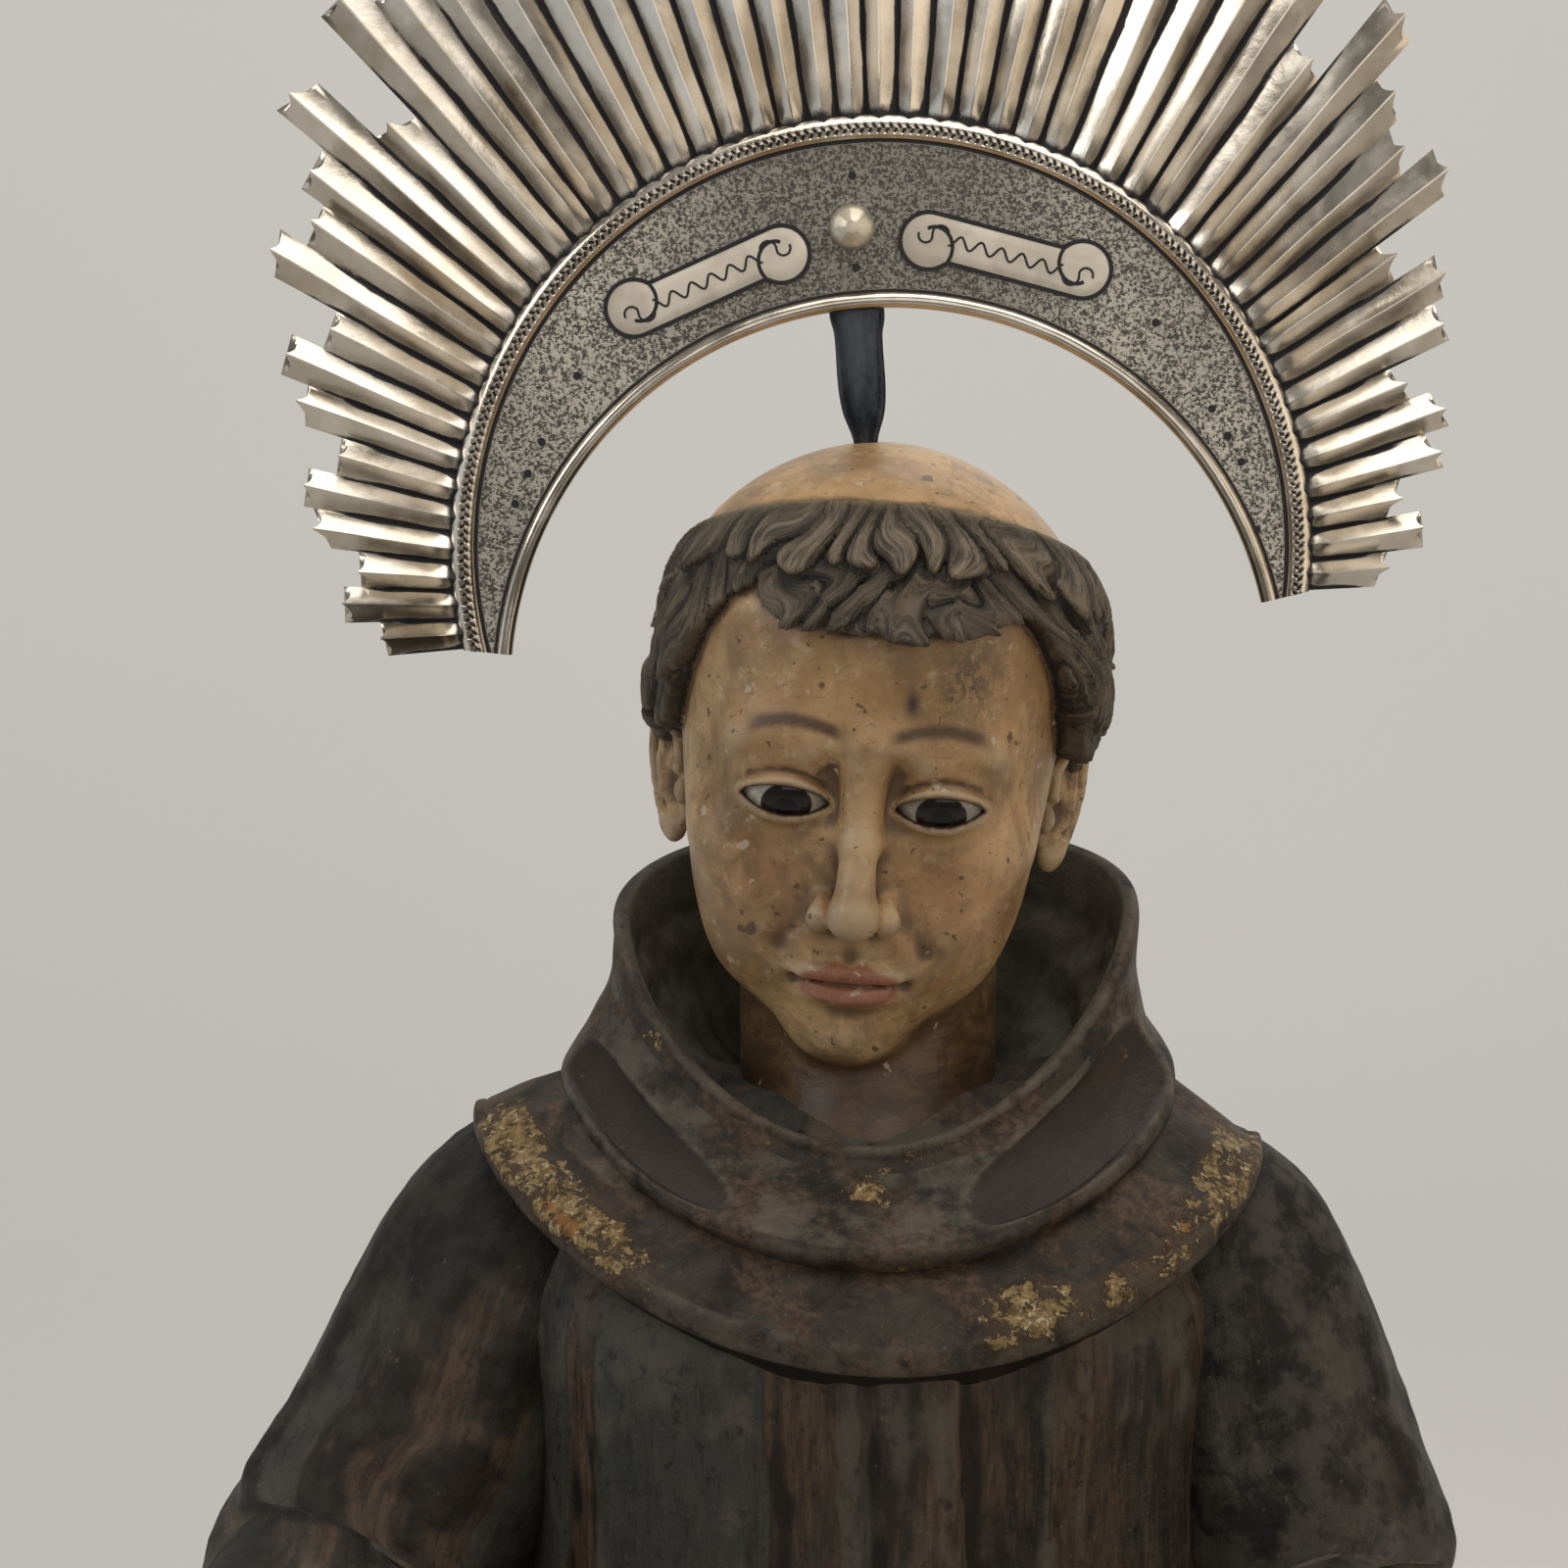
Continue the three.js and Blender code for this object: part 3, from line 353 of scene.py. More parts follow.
def cape():
    n = int(360 / COARSE)
    edge_height = saddle(886, 843, 768, 1.7, 1.4)
    top_height = saddle(906, 880, 884)
    edge, top, powers = (108, 99, 93), (66, 58, 60), (1.1, 1.2, 3)

    def ring(rise, inset=0.0, drop=0.0):
        sizes = [lerp(e, t, rise**power) - inset for e, t, power in zip(edge, top, powers)]
        return oval(n, *sizes, lambda a: lerp(edge_height(a) - 4.5 * np.cos(a), top_height(a), rise) - drop)

    rings = [
        ring(0, 50, 48), ring(0, 4, CAPE_EDGE + 0.6), ring(0, 1.2, CAPE_EDGE), ring(0, 0.1, CAPE_EDGE - 2),
        ring(0, 0, 1.6), ring(0.015, 0.3), ring(0.06, 0.9), ring(0.12, 1.5), ring(0.45), ring(1),
    ]
    steps = np.maximum(1, np.array([2, 3, 3, 4, 3, 3, 5, 24, 24]) / COARSE).astype(int)
    rings = skin(rings, steps)
    a = angles(n)[None, :]
    rise = np.linspace(0, 1, len(rings))[:, None]
    shown = smoothstep(rise, 0.2, 0.3)
    push = shown * (0.8 * wobble(rings, 38, 5) + 0.3 * wobble(rings, 13, 6))
    lens = np.clip(1 - ((a - 3.8) / 0.24) ** 2 - ((rise - 0.52) / 0.1) ** 2, 0, 1)
    push = push - 1.8 * lens**0.8
    notches = smoothstep(wobble(rings, 16, 31), 0.62, 0.9)
    push = push - 0.9 * notches * smoothstep(rise, 0.04, 0.12) * (1 - smoothstep(rise, 0.24, 0.3))
    rings = rings + normals_of(rings) * push[..., None]
    width, left = GOLD_WIDTH(np.degrees(a)), np.clip(GOLD_LEFT(np.degrees(a)), 0, 1)
    border = smoothstep(rise, 0.1, 0.18) * (1 - smoothstep(rise, width - 0.08, width + 0.04))
    marks = {"flow": rings * 0.001, "border": border * left, "scoop": lens * 0.8,
             "tint": np.full(rings.shape[:2], CAPE_TINT)}
    return loft("cape", rings, marks)


NECK_FRONT = smooth([[NECK["bottom"], 55], [883, 53], [899, 43], [912, 39], [NECK["top"], 37]])
RIM_FLARE = 4  # how far the hood's rim stands out and up over the left shoulder
roll_height = saddle(898, 866, 806, 1.5, 2.2)
RIM = (70, 62, 64)


def flare(a):
    return RIM_FLARE * np.maximum(0, np.cos(a)) ** 2


def rim_height(a):
    return saddle(943, 889, 961, 1.35, 0.8)(a) + flare(a)


# Flakes of gold on the hood: place across and up, radius and strength
HOOD_GOLD = [
    (0, 878, 6, 1.0), (-9, 861, 9, 0.7), (-30, 888, 8, 0.45), (14, 887, 6, 0.4), (-58, 912, 5, 0.7),
    (-53, 922, 5, 0.6), (62, 904, 7, 0.3), (8, 861, 6, 0.5),
]


def hood():
    n = int(360 / COARSE)

    def ring(sizes, height, drop=0.0, y=0.0, out=0.0):
        return oval(n, *sizes, lambda a: height(a) - drop, y=y, push=lambda a: out * flare(a))

    def blend(share):
        return lambda a: lerp(roll_height(a), rim_height(a), share)

    def inside(share):
        return lambda a: lerp(saddle(889, 882, 890)(a), rim_height(a), share)

    def rim(inset):
        return tuple(r - inset for r in RIM)

    socket = (NECK["half_width"] + GAP, NECK_FRONT(NECK["bottom"]) + GAP, NECK["back"] + GAP)
    well = rim(HOOD_WALL)
    rings = [
        ring((60, 62, 66), roll_height, 20),
        ring((80, 83, 91), roll_height, 6),
        ring((83.6, 87.6, 95.6), roll_height, 2.5),
        ring((84, 88, 96), roll_height),
        ring((83, 86, 95), blend(0.12)),
        ring((76, 75, 86), blend(0.35)),
        ring((70.5, 66, 74), blend(0.62), out=0.6),
        ring(RIM, rim_height, 4, out=1),
        ring(rim(0.4), rim_height, 1.4, out=1),
        ring(rim(1.8), rim_height, 0.2, out=1),
        ring(rim(3.4), rim_height, 0.3, out=1),
        ring(rim(4.7), rim_height, 1.8, out=1),
        ring((well[0] - 1.2, well[1] - 0.6, well[2] - 1.2), inside(0.84), out=1),
        ring((well[0] - 2, well[1] - 1, well[2] - 2), inside(0.72), out=1),
        ring((56, 54, 53), inside(0.3)),
        ring((socket[0] + 5, socket[1] + 2, socket[2] + 5), inside(0.02), y=NECK["y"]),
        ring(socket, inside(0), 1, y=NECK["y"]),
        ring(socket, lambda a: np.full_like(a, NECK["bottom"] - GAP), y=NECK["y"]),
    ]
    steps = [max(1, int(s / COARSE)) for s in (2, 4, 4, 8, 18, 18, 18, 4, 3, 3, 3, 5, 6, 12, 8, 3, 2)]
    rings = skin(rings, steps)
    starts = np.cumsum([0] + steps)
    share = np.interp(np.arange(len(rings)), starts, np.arange(len(starts)))[:, None]
    a = angles(n)[None, :]
    # Two long flat facets scooped out of the roll, one on each side of the front
    scoop = np.zeros(rings.shape[:2])
    for middle, half, tall in ((214, 28, 1.0), (319, 31, 1.35)):
        across = (np.degrees(a) - middle) / half
        up = (share - 3.35 - tall) / tall
        scoop = np.maximum(scoop, 1 - np.abs(across) ** 2.6 - np.abs(up) ** 2.2)
    lens = np.clip(scoop, 0, 1)
    outside = 1 - smoothstep(share, 7.0, 8.0)
    within = smoothstep(share, 12.2, 13.2) * (1 - smoothstep(share, 15.2, 16))
    outside = outside * (1 - 0.7 * smoothstep(scoop, -0.1, 0.1))
    rough = outside * (0.75 * wobble(rings, 42, 7) + 0.35 * wobble(rings, 15, 8))
    rough = rough + within * (1.1 * wobble(rings, 17, 9) + 0.5 * wobble(rings, 7, 10))
    push = rough * smoothstep(share, 0.5, 2.5) - 3.6 * lens**0.6
    rings = rings + normals_of(rings) * push[..., None]
    # A pale line along the crest of the rim and along the brinks of the scoops: rubbed paint, and a painted
    # highlight on these edges.
    rim_wear_and_highlight = 0.35 * bell((share - 8.7) / 0.5) * np.ones_like(a)
    brink = 0.45 * bell(scoop / 0.06) * (share > 3.4) * (share < 6.4)
    gold = np.zeros(rings.shape[:2])
    for x, z, radius, strength in HOOD_GOLD:
        off = ((rings[..., 0] - x) ** 2 + ((rings[..., 2] - z) * 1.3) ** 2) / radius**2
        gold = np.maximum(gold, strength * np.exp(-off) * (rings[..., 1] < -20) * (share < 8.5))
    marks = {
        "flow": rings * 0.001, "border": gold, "wear": np.maximum(rim_wear_and_highlight, brink),
        "scoop": smoothstep(lens, 0.0, 0.06), "inside": smoothstep(share, 9.5, 11) * np.ones_like(a),
        "tint": np.full(rings.shape[:2], CAPE_TINT),
    }
    return loft("hood", rings, marks)


SLEEVE_WEAR = {"right": 0.12, "left": 0.32}


def sleeve(name):
    spec = SLEEVES[name]
    n, m = int(130 / COARSE), int(120 / COARSE)
    station = np.linspace(0, len(spec["centres"]) - 1, m)

    def along_arm(values):
        return smooth(list(enumerate(values)))(station)

    centres = np.stack([along_arm(values) for values in zip(*spec["centres"])], -1)
    half_widths, half_heights = along_arm(spec["half_widths"]), along_arm(spec["half_heights"])
    ahead = np.gradient(centres, axis=0)
    ahead /= np.linalg.norm(ahead, axis=1, keepdims=True)
    across = np.cross(ahead, [0, 0, 1])
    across /= np.linalg.norm(across, axis=1, keepdims=True)
    up = np.cross(across, ahead)
    a = angles(n)[None, :]
    s = station[:, None]
    folds = 2.6 * np.exp(-((s - 4) ** 2) / 2) * np.cos(3 * a + 1.7 * s)
    turn = 1 if name == "right" else -1
    folds = folds + 0.8 * np.exp(-((s - 3.6) ** 2) / 1.2) * np.cos(7 * a * turn - 3.1 * s + 1)
    folds = folds + 0.6 * smoothstep(s, 0.6, 1.6) * (1 - smoothstep(s, 3, 4)) * np.cos(9 * a + 0.9 * s)
    folds = folds + 1.6 * smoothstep(s, 4.2, 6) * np.cos(6 * a + 0.5 * s)
    grow = 1 + folds / half_widths[:, None]
    rings = (
        centres[:, None]
        - across[:, None] * (half_widths[:, None] * np.cos(a) * grow)[..., None]
        - up[:, None] * (half_heights[:, None] * np.sin(a) * grow)[..., None]
    )
    rings += normals_of(rings) * (0.35 * wobble(rings, 30, 12) + 0.16 * wobble(rings, 8, 13))[..., None]
    x, y, z = spec["centres"][-1]
    width, height = half_widths[-1] - CUFF_WALL, half_heights[-1] - CUFF_WALL
    last = rings[-1]
    middle = np.array([x, y, z])

    def inner(depth, lift, w, h):
        return np.stack([x + w * np.cos(a[0]), np.full(n, y + depth), z + lift - h * np.sin(a[0])], -1)

    lip = [
        last + (middle - last) * 0.02 + [0, -1.2, 0],
        last + (middle - last) * 0.06 + [0, -1.9, 0],
        inner(-1.2, 0, width + 1.4, height + 1.4),
        inner(1, 0, width, height),
        inner(12, 4, width * 0.92, height * 0.88),
        inner(CUFF_DEPTH - 2, 7.5, width * 0.66, height * 0.6),
        inner(CUFF_DEPTH, 8, width * 0.55, height * 0.5),
    ]
    rings = np.concatenate([rings, skin(lip, [2, 3, 2, 6, 6, 2])])
    rows = len(rings)
    inside = smoothstep(np.arange(rows), m + 4, m + 8)[:, None] * np.ones((1, n))
    along = np.concatenate([[0], np.cumsum(np.linalg.norm(np.diff(rings.mean(1), axis=0), axis=1))])
    flow = np.stack(np.broadcast_arrays(45 * np.cos(a), 45 * np.sin(a), 0.12 * along[:, None]), -1)
    s = np.linspace(0, 7, rows)[:, None]
    tint = 1.1 * np.sin(5 * a * turn + 0.7 * s + 1) * np.cos(2.3 * s + 2 * a + 0.5)
    worn = SLEEVE_WEAR[name] * smoothstep(s, 0.3, 1) * (1 - smoothstep(s, 3.2, 4.5)) * np.ones((1, n))
    marks = {"flow": flow * 0.001, "inside": inside, "tint": 0.5 * tint, "wear": worn}
    return loft(name + "_sleeve", rings, marks)


def rope(name, path, radii, pitch, start_frame):
    """Twisted rope of three strands along a path of points."""
    tangent = np.gradient(path, axis=0)
    tangent /= np.linalg.norm(tangent, axis=1, keepdims=True)
    side = np.cross(tangent, start_frame)
    side /= np.linalg.norm(side, axis=1, keepdims=True)
    other = np.cross(side, tangent)
    along = np.concatenate([[0], np.cumsum(np.linalg.norm(np.diff(path, axis=0), axis=1))])
    a = angles(14)
    strand = np.abs(np.cos(1.5 * (a - 2 * np.pi * along[:, None] / pitch)))
    radius = radii[:, None] * (0.8 + 0.22 * strand)
    rings = path[:, None] + side[:, None] * (radius * np.cos(a))[..., None]
    rings = rings + other[:, None] * (radius * np.sin(a))[..., None]
    marks = {"flow": rings * 0.001, "wear": 0.25 * strand**3}
    return loft(name, rings, marks)


def girdle():
    count = int(420 / COARSE)
    a = np.linspace(0, 2 * np.pi, count)
    z = WAIST_Z + 2 * np.sin(a)
    reach = 3
    c, s = np.cos(a), np.sin(a)
    depth = np.where(s < 0, ROBE_FRONT(z), ROBE_BACK(z)) + reach
    power = 2 / ROBE_POWER
    path = np.stack([(ROBE_WIDTH(z) + reach) * squared(c, power), depth * squared(s, power), z], -1)
    path[-1] = path[0] + [0, 0.2, 0]
    return rope("girdle", path, np.full(count, float(CORD_RADIUS)), 26, [0, 0, 1.0])


GIRDLE_END = {"x": 24, "top": 652, "bottom": 262, "knots": [560, 452, 344]}


def girdle_end():
    x = GIRDLE_END["x"]
    z = np.linspace(GIRDLE_END["top"], GIRDLE_END["bottom"], int(260 / COARSE))
    radii = CORD_RADIUS + 4.5 * sum(bell((z - k) / 9, 4) for k in GIRDLE_END["knots"])
    radii = radii * (1 - 0.5 * smoothstep(-z, -266, -262))
    a = -np.pi / 2 + np.arctan2(x, ROBE_FRONT(z))
    y = -ROBE_FRONT(z) * (1 - (x / ROBE_WIDTH(z)) ** ROBE_POWER) ** (1 / ROBE_POWER) - robe_fold(a, z) - 2
    path = np.stack([x + 4 * np.sin(z / 90), y, z], -1)
    return rope("girdle_end", path, radii, 24, [0, 1.0, 0])


# Distance fields, for the forms that are carved in the round
def ellipsoid(p, centre, radii):
    d = (p - centre) / radii
    near = np.sqrt((d * d).sum(-1)) + 1e-9
    d /= radii
    return near * (near - 1) / (np.sqrt((d * d).sum(-1)) + 1e-9)


def limb(p, a, b, ra, rb):
    a, b = np.array(a, float), np.array(b, float)
    d = b - a
    t = np.clip(((p - a) @ d) / (d @ d), 0, 1)
    off = p - a - t[:, None] * d
    return np.sqrt((off * off).sum(-1)) - lerp(ra, rb, t)


def chain(p, points, radii):
    total = limb(p, points[0], points[1], radii[0], radii[1])
    for i in range(1, len(points) - 1):
        total = np.minimum(total, limb(p, points[i], points[i + 1], radii[i], radii[i + 1]))
    return total


def smin(a, b, k):
    h = np.maximum(k - np.abs(a - b), 0) / k
    return np.minimum(a, b) - h * h * k / 4


def smax(a, b, k):
    return -smin(-a, -b, k)


def surface(field, axes, block=8, chunk=150000):
    """Points and faces of a field's zero surface on an uneven grid. The faces have four sides."""
    axes = [np.asarray(a, float) for a in axes]
    shape = tuple(len(a) for a in axes)

    def evaluate(points):
        return np.concatenate([field(points[i:i + chunk]) for i in range(0, len(points), chunk)])

    spans = [[(i, min(i + block, n)) for i in range(0, n, block)] for n in shape]
    middles = [np.array([(a[i] + a[j - 1]) / 2 for i, j in s]) for a, s in zip(axes, spans)]
    halves = [np.array([(a[j - 1] - a[i]) / 2 + (a[1] - a[0]) for i, j in s]) for a, s in zip(axes, spans)]
    grid = np.stack(np.meshgrid(*middles, indexing="ij"), -1).reshape(-1, 3)
    reach = np.sqrt(sum(h**2 for h in np.meshgrid(*halves, indexing="ij"))).ravel()
    rough = evaluate(grid)
    keep = np.abs(rough) < 1.35 * reach + 2.5

    def spread(values):
        values = values.reshape([len(m) for m in middles])
        for axis, n in enumerate(shape):
            values = np.repeat(values, block, axis)
            values = np.take(values, np.arange(n), axis)
        return values

    d = spread(rough).astype(np.float64)
    where = np.nonzero(spread(keep))
    d[where] = evaluate(np.stack([axes[i][where[i]] for i in range(3)], -1))
    inside = d < 0
    total = np.zeros([n - 1 for n in shape], np.int8)
    for i, j, k in itertools.product((0, 1), repeat=3):
        total += inside[i:i + shape[0] - 1, j:j + shape[1] - 1, k:k + shape[2] - 1]
    cells = np.nonzero((total > 0) & (total < 8))
    number = np.full(total.shape, -1)
    number[cells] = np.arange(len(cells[0]))
    sums = np.zeros((len(cells[0]), 3))
    count = np.zeros(len(cells[0]))
    for axis, u, v in itertools.product(range(3), (0, 1), (0, 1)):
        low = [c + step for c, step in zip(cells, np.insert([u, v], axis, 0))]
        high = [c + (i == axis) for i, c in enumerate(low)]
        da, db = d[tuple(low)], d[tuple(high)]
        hit = (da < 0) != (db < 0)
        t = np.where(hit, da / np.where(hit, da - db, 1), 0)
        for i in range(3):
            sums[:, i] += np.where(hit, lerp(axes[i][low[i]], axes[i][high[i]], t), 0)
        count += hit
    points = sums / count[:, None]
    faces = []
    for axis in range(3):
        others = [(axis + 1) % 3, (axis + 2) % 3]
        index = np.array(np.nonzero(np.diff(inside, axis=axis)))
        fits = np.ones(index.shape[1], bool)
        for o in others:
            fits &= (index[o] > 0) & (index[o] < shape[o] - 1)
        index = index[:, fits]
        quad = []
        for du, dv in ((-1, -1), (0, -1), (0, 0), (-1, 0)):
            corner = index.copy()
            corner[others[0]] += du
            corner[others[1]] += dv
            quad.append(number[tuple(corner)])
        quad = np.stack(quad, -1)
        faces.append(np.where(inside[tuple(index)][:, None], quad, quad[:, ::-1]))
    faces = np.concatenate(faces)
    for _ in range(3):
        points = draw_on(field, points, evaluate)
    return points, faces


def draw_on(field, points, evaluate):
    h = 0.25
    corners = np.array([[1, -1, -1], [-1, -1, 1], [-1, 1, -1], [1, 1, 1]])
    slope = sum(c * evaluate(points + c * h)[:, None] for c in corners) / (4 * h)
    size = (slope * slope).sum(-1)
    move = evaluate(points) / np.maximum(size, 0.2)
    move = np.clip(move, -0.8, 0.8)
    return points - slope * move[:, None]


# Head
def turn(axis, degrees):
    return np.array(Matrix.Rotation(math.radians(degrees), 3, axis))


HEAD_TURN = turn("Y", HEAD_ROLL) @ turn("X", HEAD_PITCH) @ turn("Z", -HEAD_YAW)


def head_to_world(points):
    return points @ HEAD_TURN.T * HEAD_SCALE + HEAD_CENTRE


def neck_field(local):
    x, y, z = head_to_world(local).T
    dy = y - NECK["y"] + np.maximum(0, z - NECK["bend"]) * NECK["lean"]
    depth = np.where(dy < 0, NECK_FRONT(z), NECK["back"])
    d = (np.hypot(x / NECK["half_width"], dy / depth) - 1) * NECK["half_width"]
    return smax(d, z - NECK["top"] - 5, 4)


# The ball behind the lids is a little wider than high, so that flesh meets it in the corners of the eye
EYE_CENTRE = (EYE["x"], EYE["y"], EYE["z"])
EYE_RADII = np.array([12.4, EYE["radius"], 10.6])
LID_THICK = 1.7
LID_TOP, LID_LOW, LID_HALF = 4.3, 3.5, 11.2


def eye_opening(q, z):
    """Below zero inside the almond between the lids."""
    u = (q - EYE["x"]) / LID_HALF
    bow = np.clip(1 - u * u, 0, 1)
    tilt = 0.6 * u
    top = LID_TOP * bow**0.7 + tilt
    low = -LID_LOW * bow**0.85 + tilt
    within = np.maximum(z - top, low - z)
    return np.where(np.abs(u) < 1, within, np.hypot((np.abs(u) - 1) * LID_HALF, z - tilt))


def lid_crease(q):
    return LID_TOP + 3.6 - 0.034 * (q - EYE["x"]) ** 2 + 0.05 * (q - EYE["x"])


def relief_of_mesh(points, faces, turns=36):
    """How far each point of a mesh of four-sided faces stands proud of its smoothed surroundings."""
    starts, ends = faces.ravel(), np.roll(faces, -1, 1).ravel()
    count = np.maximum(np.bincount(starts, minlength=len(points)), 1)[:, None]
    soft = points
    for _ in range(int(turns / COARSE**2)):
        total = np.stack([np.bincount(starts, soft[ends, k], len(points)) for k in range(3)], -1)
        soft = 0.4 * soft + 0.6 * total / count
    across = np.cross(points[faces[:, 2]] - points[faces[:, 0]], points[faces[:, 3]] - points[faces[:, 1]])
    normals = np.stack([np.bincount(starts, np.repeat(across[:, k], 4), len(points)) for k in range(3)], -1)
    normals /= np.linalg.norm(normals, axis=1, keepdims=True) + 1e-9
    return np.clip(((points - soft) * normals).sum(-1), -2, 2)


# Swells of the face over the skull: centre, radii and how softly each joins
FACE_SWELLS = [
    ((0, -15, -10), (46, 38, 55), 10), ((0, -18, -38), (38.5, 32.5, 34), 12),
    ((0, -40, -62.5), (15, 13.5, 11.5), 12), ((29, -34, -15), (13, 13, 11), 12),
    ((20, -36, -37), (15, 13.5, 17), 12), ((0, -41, -43), (19, 13.5, 17), 10),
]


def face_field(p):
    x, y, z = p.T
    m = np.stack([np.abs(x), y, z], -1)
    q = m[:, 0]
    skull = smin(ellipsoid(m, (0, 8, 17), (51, 59, 58)), ellipsoid(m, (0, 7, 29.5), (54, 56, 45)), 4)
    d = skull
    for centre, radii, blending in FACE_SWELLS:
        d = smin(d, ellipsoid(m, centre, radii), blending)
    d = smin(d, limb(m, (3, -48.5, 14), (29, -41, 13), 5.4, 4.8), 9)
    d = smax(d, -ellipsoid(m, (EYE["x"], -61, 0), (13.5, 11, 8.5)), 6)
    d = smax(d, -ellipsoid(m, (8.5, -57, 4), (4, 7, 9)), 6)
    d = smin(d, nose_field(m), 5)
    d = smax(d, -ellipsoid(m, (4.9, -60.5, -31.8), (2.2, 3.8, 2.4)), 1.6)
    d = smax(d, -limb(m, (13, -56, -25), (19, -52.5, -38), 1.0, 1.2), 6)
    d = mouth_cuts(m, d)
    d = lids(m, d)
    d = smin(d, ear_field(m), 2.2)
    d = smin(d, neck_field(p), 4)
    return np.maximum(d, (NECK["bottom"] - head_to_world(p)[:, 2]) / HEAD_SCALE)


def nose_field(m):
    d = limb(m, (0, -50, 9), (0, -56, -8), 4.4, 4.3)
    d = smin(d, limb(m, (0, -56, -8), (0, -63, -23), 4.3, 5.4), 4)
    d = smin(d, ellipsoid(m, (0, -64, -25.5), (6.4, 6.0, 5.4)), 4)
    d = smin(d, ellipsoid(m, (8.4, -57, -27), (4.4, 6.4, 4.6)), 3.2)
    return smin(d, limb(m, (0, -62, -29.5), (0, -55, -32), 2.6, 2.4), 3)


def mouth_cuts(m, d):
    q, y, z = m.T
    d = smax(d, -limb(m, (0, -58.6, -33.5), (0, -57.6, -40), 1.4, 1.8), 3)
    upper = ellipsoid(m, (4.4, -53.4, -43.2), (8.8, 5.0, 3.2))
    upper = smin(upper, ellipsoid(m, (9.6, -51.2, -45.2), (6.2, 4.4, 2.2)), 3)
    lower = ellipsoid(m, (0, -52.8, -49.8), (11, 5.6, 4.0))
    d = smin(smin(d, upper, 2.6), lower, 2.6)
    slit = np.maximum(np.abs(z - mouth_line(q)) - 0.35, q - 13.5)
    d = smax(d, -np.maximum(slit, y + 52.6), 1.2)
    d = smax(d, -ellipsoid(m, (14.6, -53.2, -47.4), (1.3, 1.6, 1.2)), 3.5)
    return smax(d, -ellipsoid(m, (0, -58, -56.2), (10, 5.2, 3.0)), 4)


def mouth_line(q):
    return -45.6 - 0.9 * np.cos(q / 4.4) * bell(q / 12) - 0.11 * q


def lids(m, d):
    q, y, z = m.T
    shell = ellipsoid(m, EYE_CENTRE, EYE_RADII + LID_THICK)
    d = smin(d, np.maximum(shell, y - EYE["y"]), 3)
    ahead = smoothstep(-y, 38, 44)
    across = np.abs(q - EYE["x"])
    crease = np.hypot(z - lid_crease(q), np.maximum(across - 9.5, 0)) / 1.0
    fold = np.hypot(z + LID_LOW + 3.6 - 0.03 * across**2, np.maximum(across - 8, 0)) / 1.4
    d = d + ahead * (1.1 * bell(crease) + 0.4 * bell(fold))
    edge = eye_opening(q, z)
    d = d - ahead * 0.35 * bell((edge - 1.0) / 0.9) * (across < LID_HALF + 2)
    hole = smax(edge, y - EYE["y"], 0.4)
    socket = ellipsoid(m, EYE_CENTRE, EYE_RADII - 1.2)
    return smax(d, -smax(hole, -socket, 0.4), 0.6)


EAR_PLACE = (50.2, 8, -17.5)
EAR_RIM = [(-2.0, 1), (-6.8, 4.5), (-7.6, 10.5), (-3.5, 15.5), (3, 16.6), (8.4, 12.8), (10, 6), (9.2, -1),
           (6.8, -8), (3.5, -12.5)]
EAR_FOLD = [(3.6, 10), (5.0, 3.5), (3.8, -3.5), (0, -7.0)]


def ear_field(m):
    """Ear with a rolled rim, an inner fold, a hollow and a lobe, leaning back with its rear edge free."""
    e = (m - EAR_PLACE) @ (turn("Z", -26) @ turn("X", -10))
    d = ellipsoid(e, (-0.6, 1, 0.5), (2.4, 9.4, 15.2))
    rim = [(1.1 + 0.9 * math.sin(0.3 + 0.35 * i), b, u) for i, (b, u) in enumerate(EAR_RIM)]
    d = smin(d, chain(e, rim, np.linspace(1.5, 2.0, len(rim))), 1.2)
    d = smin(d, ellipsoid(e, (0.2, 1.2, -13.2), (2.9, 4.4, 4.6)), 2.5)
    d = smin(d, chain(e, [(1.9, b, u) for b, u in EAR_FOLD], [1.2, 1.6, 1.6, 1.1]), 1.4)
    d = smax(d, -ellipsoid(e, (2.8, -1.6, -2.2), (3.4, 4.4, 5.6)), 1.4)
    return smin(d, ellipsoid(e, (1.4, -7.2, -2.6), (1.9, 2.2, 3.4)), 1.6)


HAIR_EDGE = smooth([[-1.6, 43.5], [-1.25, 44.5], [-1.0, 46], [-0.85, 47], [-0.74, 43], [-0.6, 29],
                    [-0.48, 15], [-0.36, 3], [-0.1, 0], [0.35, -22], [0.9, -44], [1.6, -50]])
LOCKS = 29
# Tiers of locks: distance below the crown where one ends, its spread, share of the locks and shift around
LOCK_TIERS = ((20, 4.2, 1.0, 0.0), (45, 6, 0.84, 0.37), (74, 5, 0.8, 0.71), (110, 5, 0.8, 0.2))
LOCK_DRAWS = np.random.default_rng(21).uniform(-1, 1, (len(LOCK_TIERS), 64))


def below_crown(y, z):
    """Distance below the plane that the shaven crown is cut by."""
    tilt = math.radians(CROWN_TILT)
    return CROWN_DISTANCE - y * math.sin(tilt) - z * math.cos(tilt)


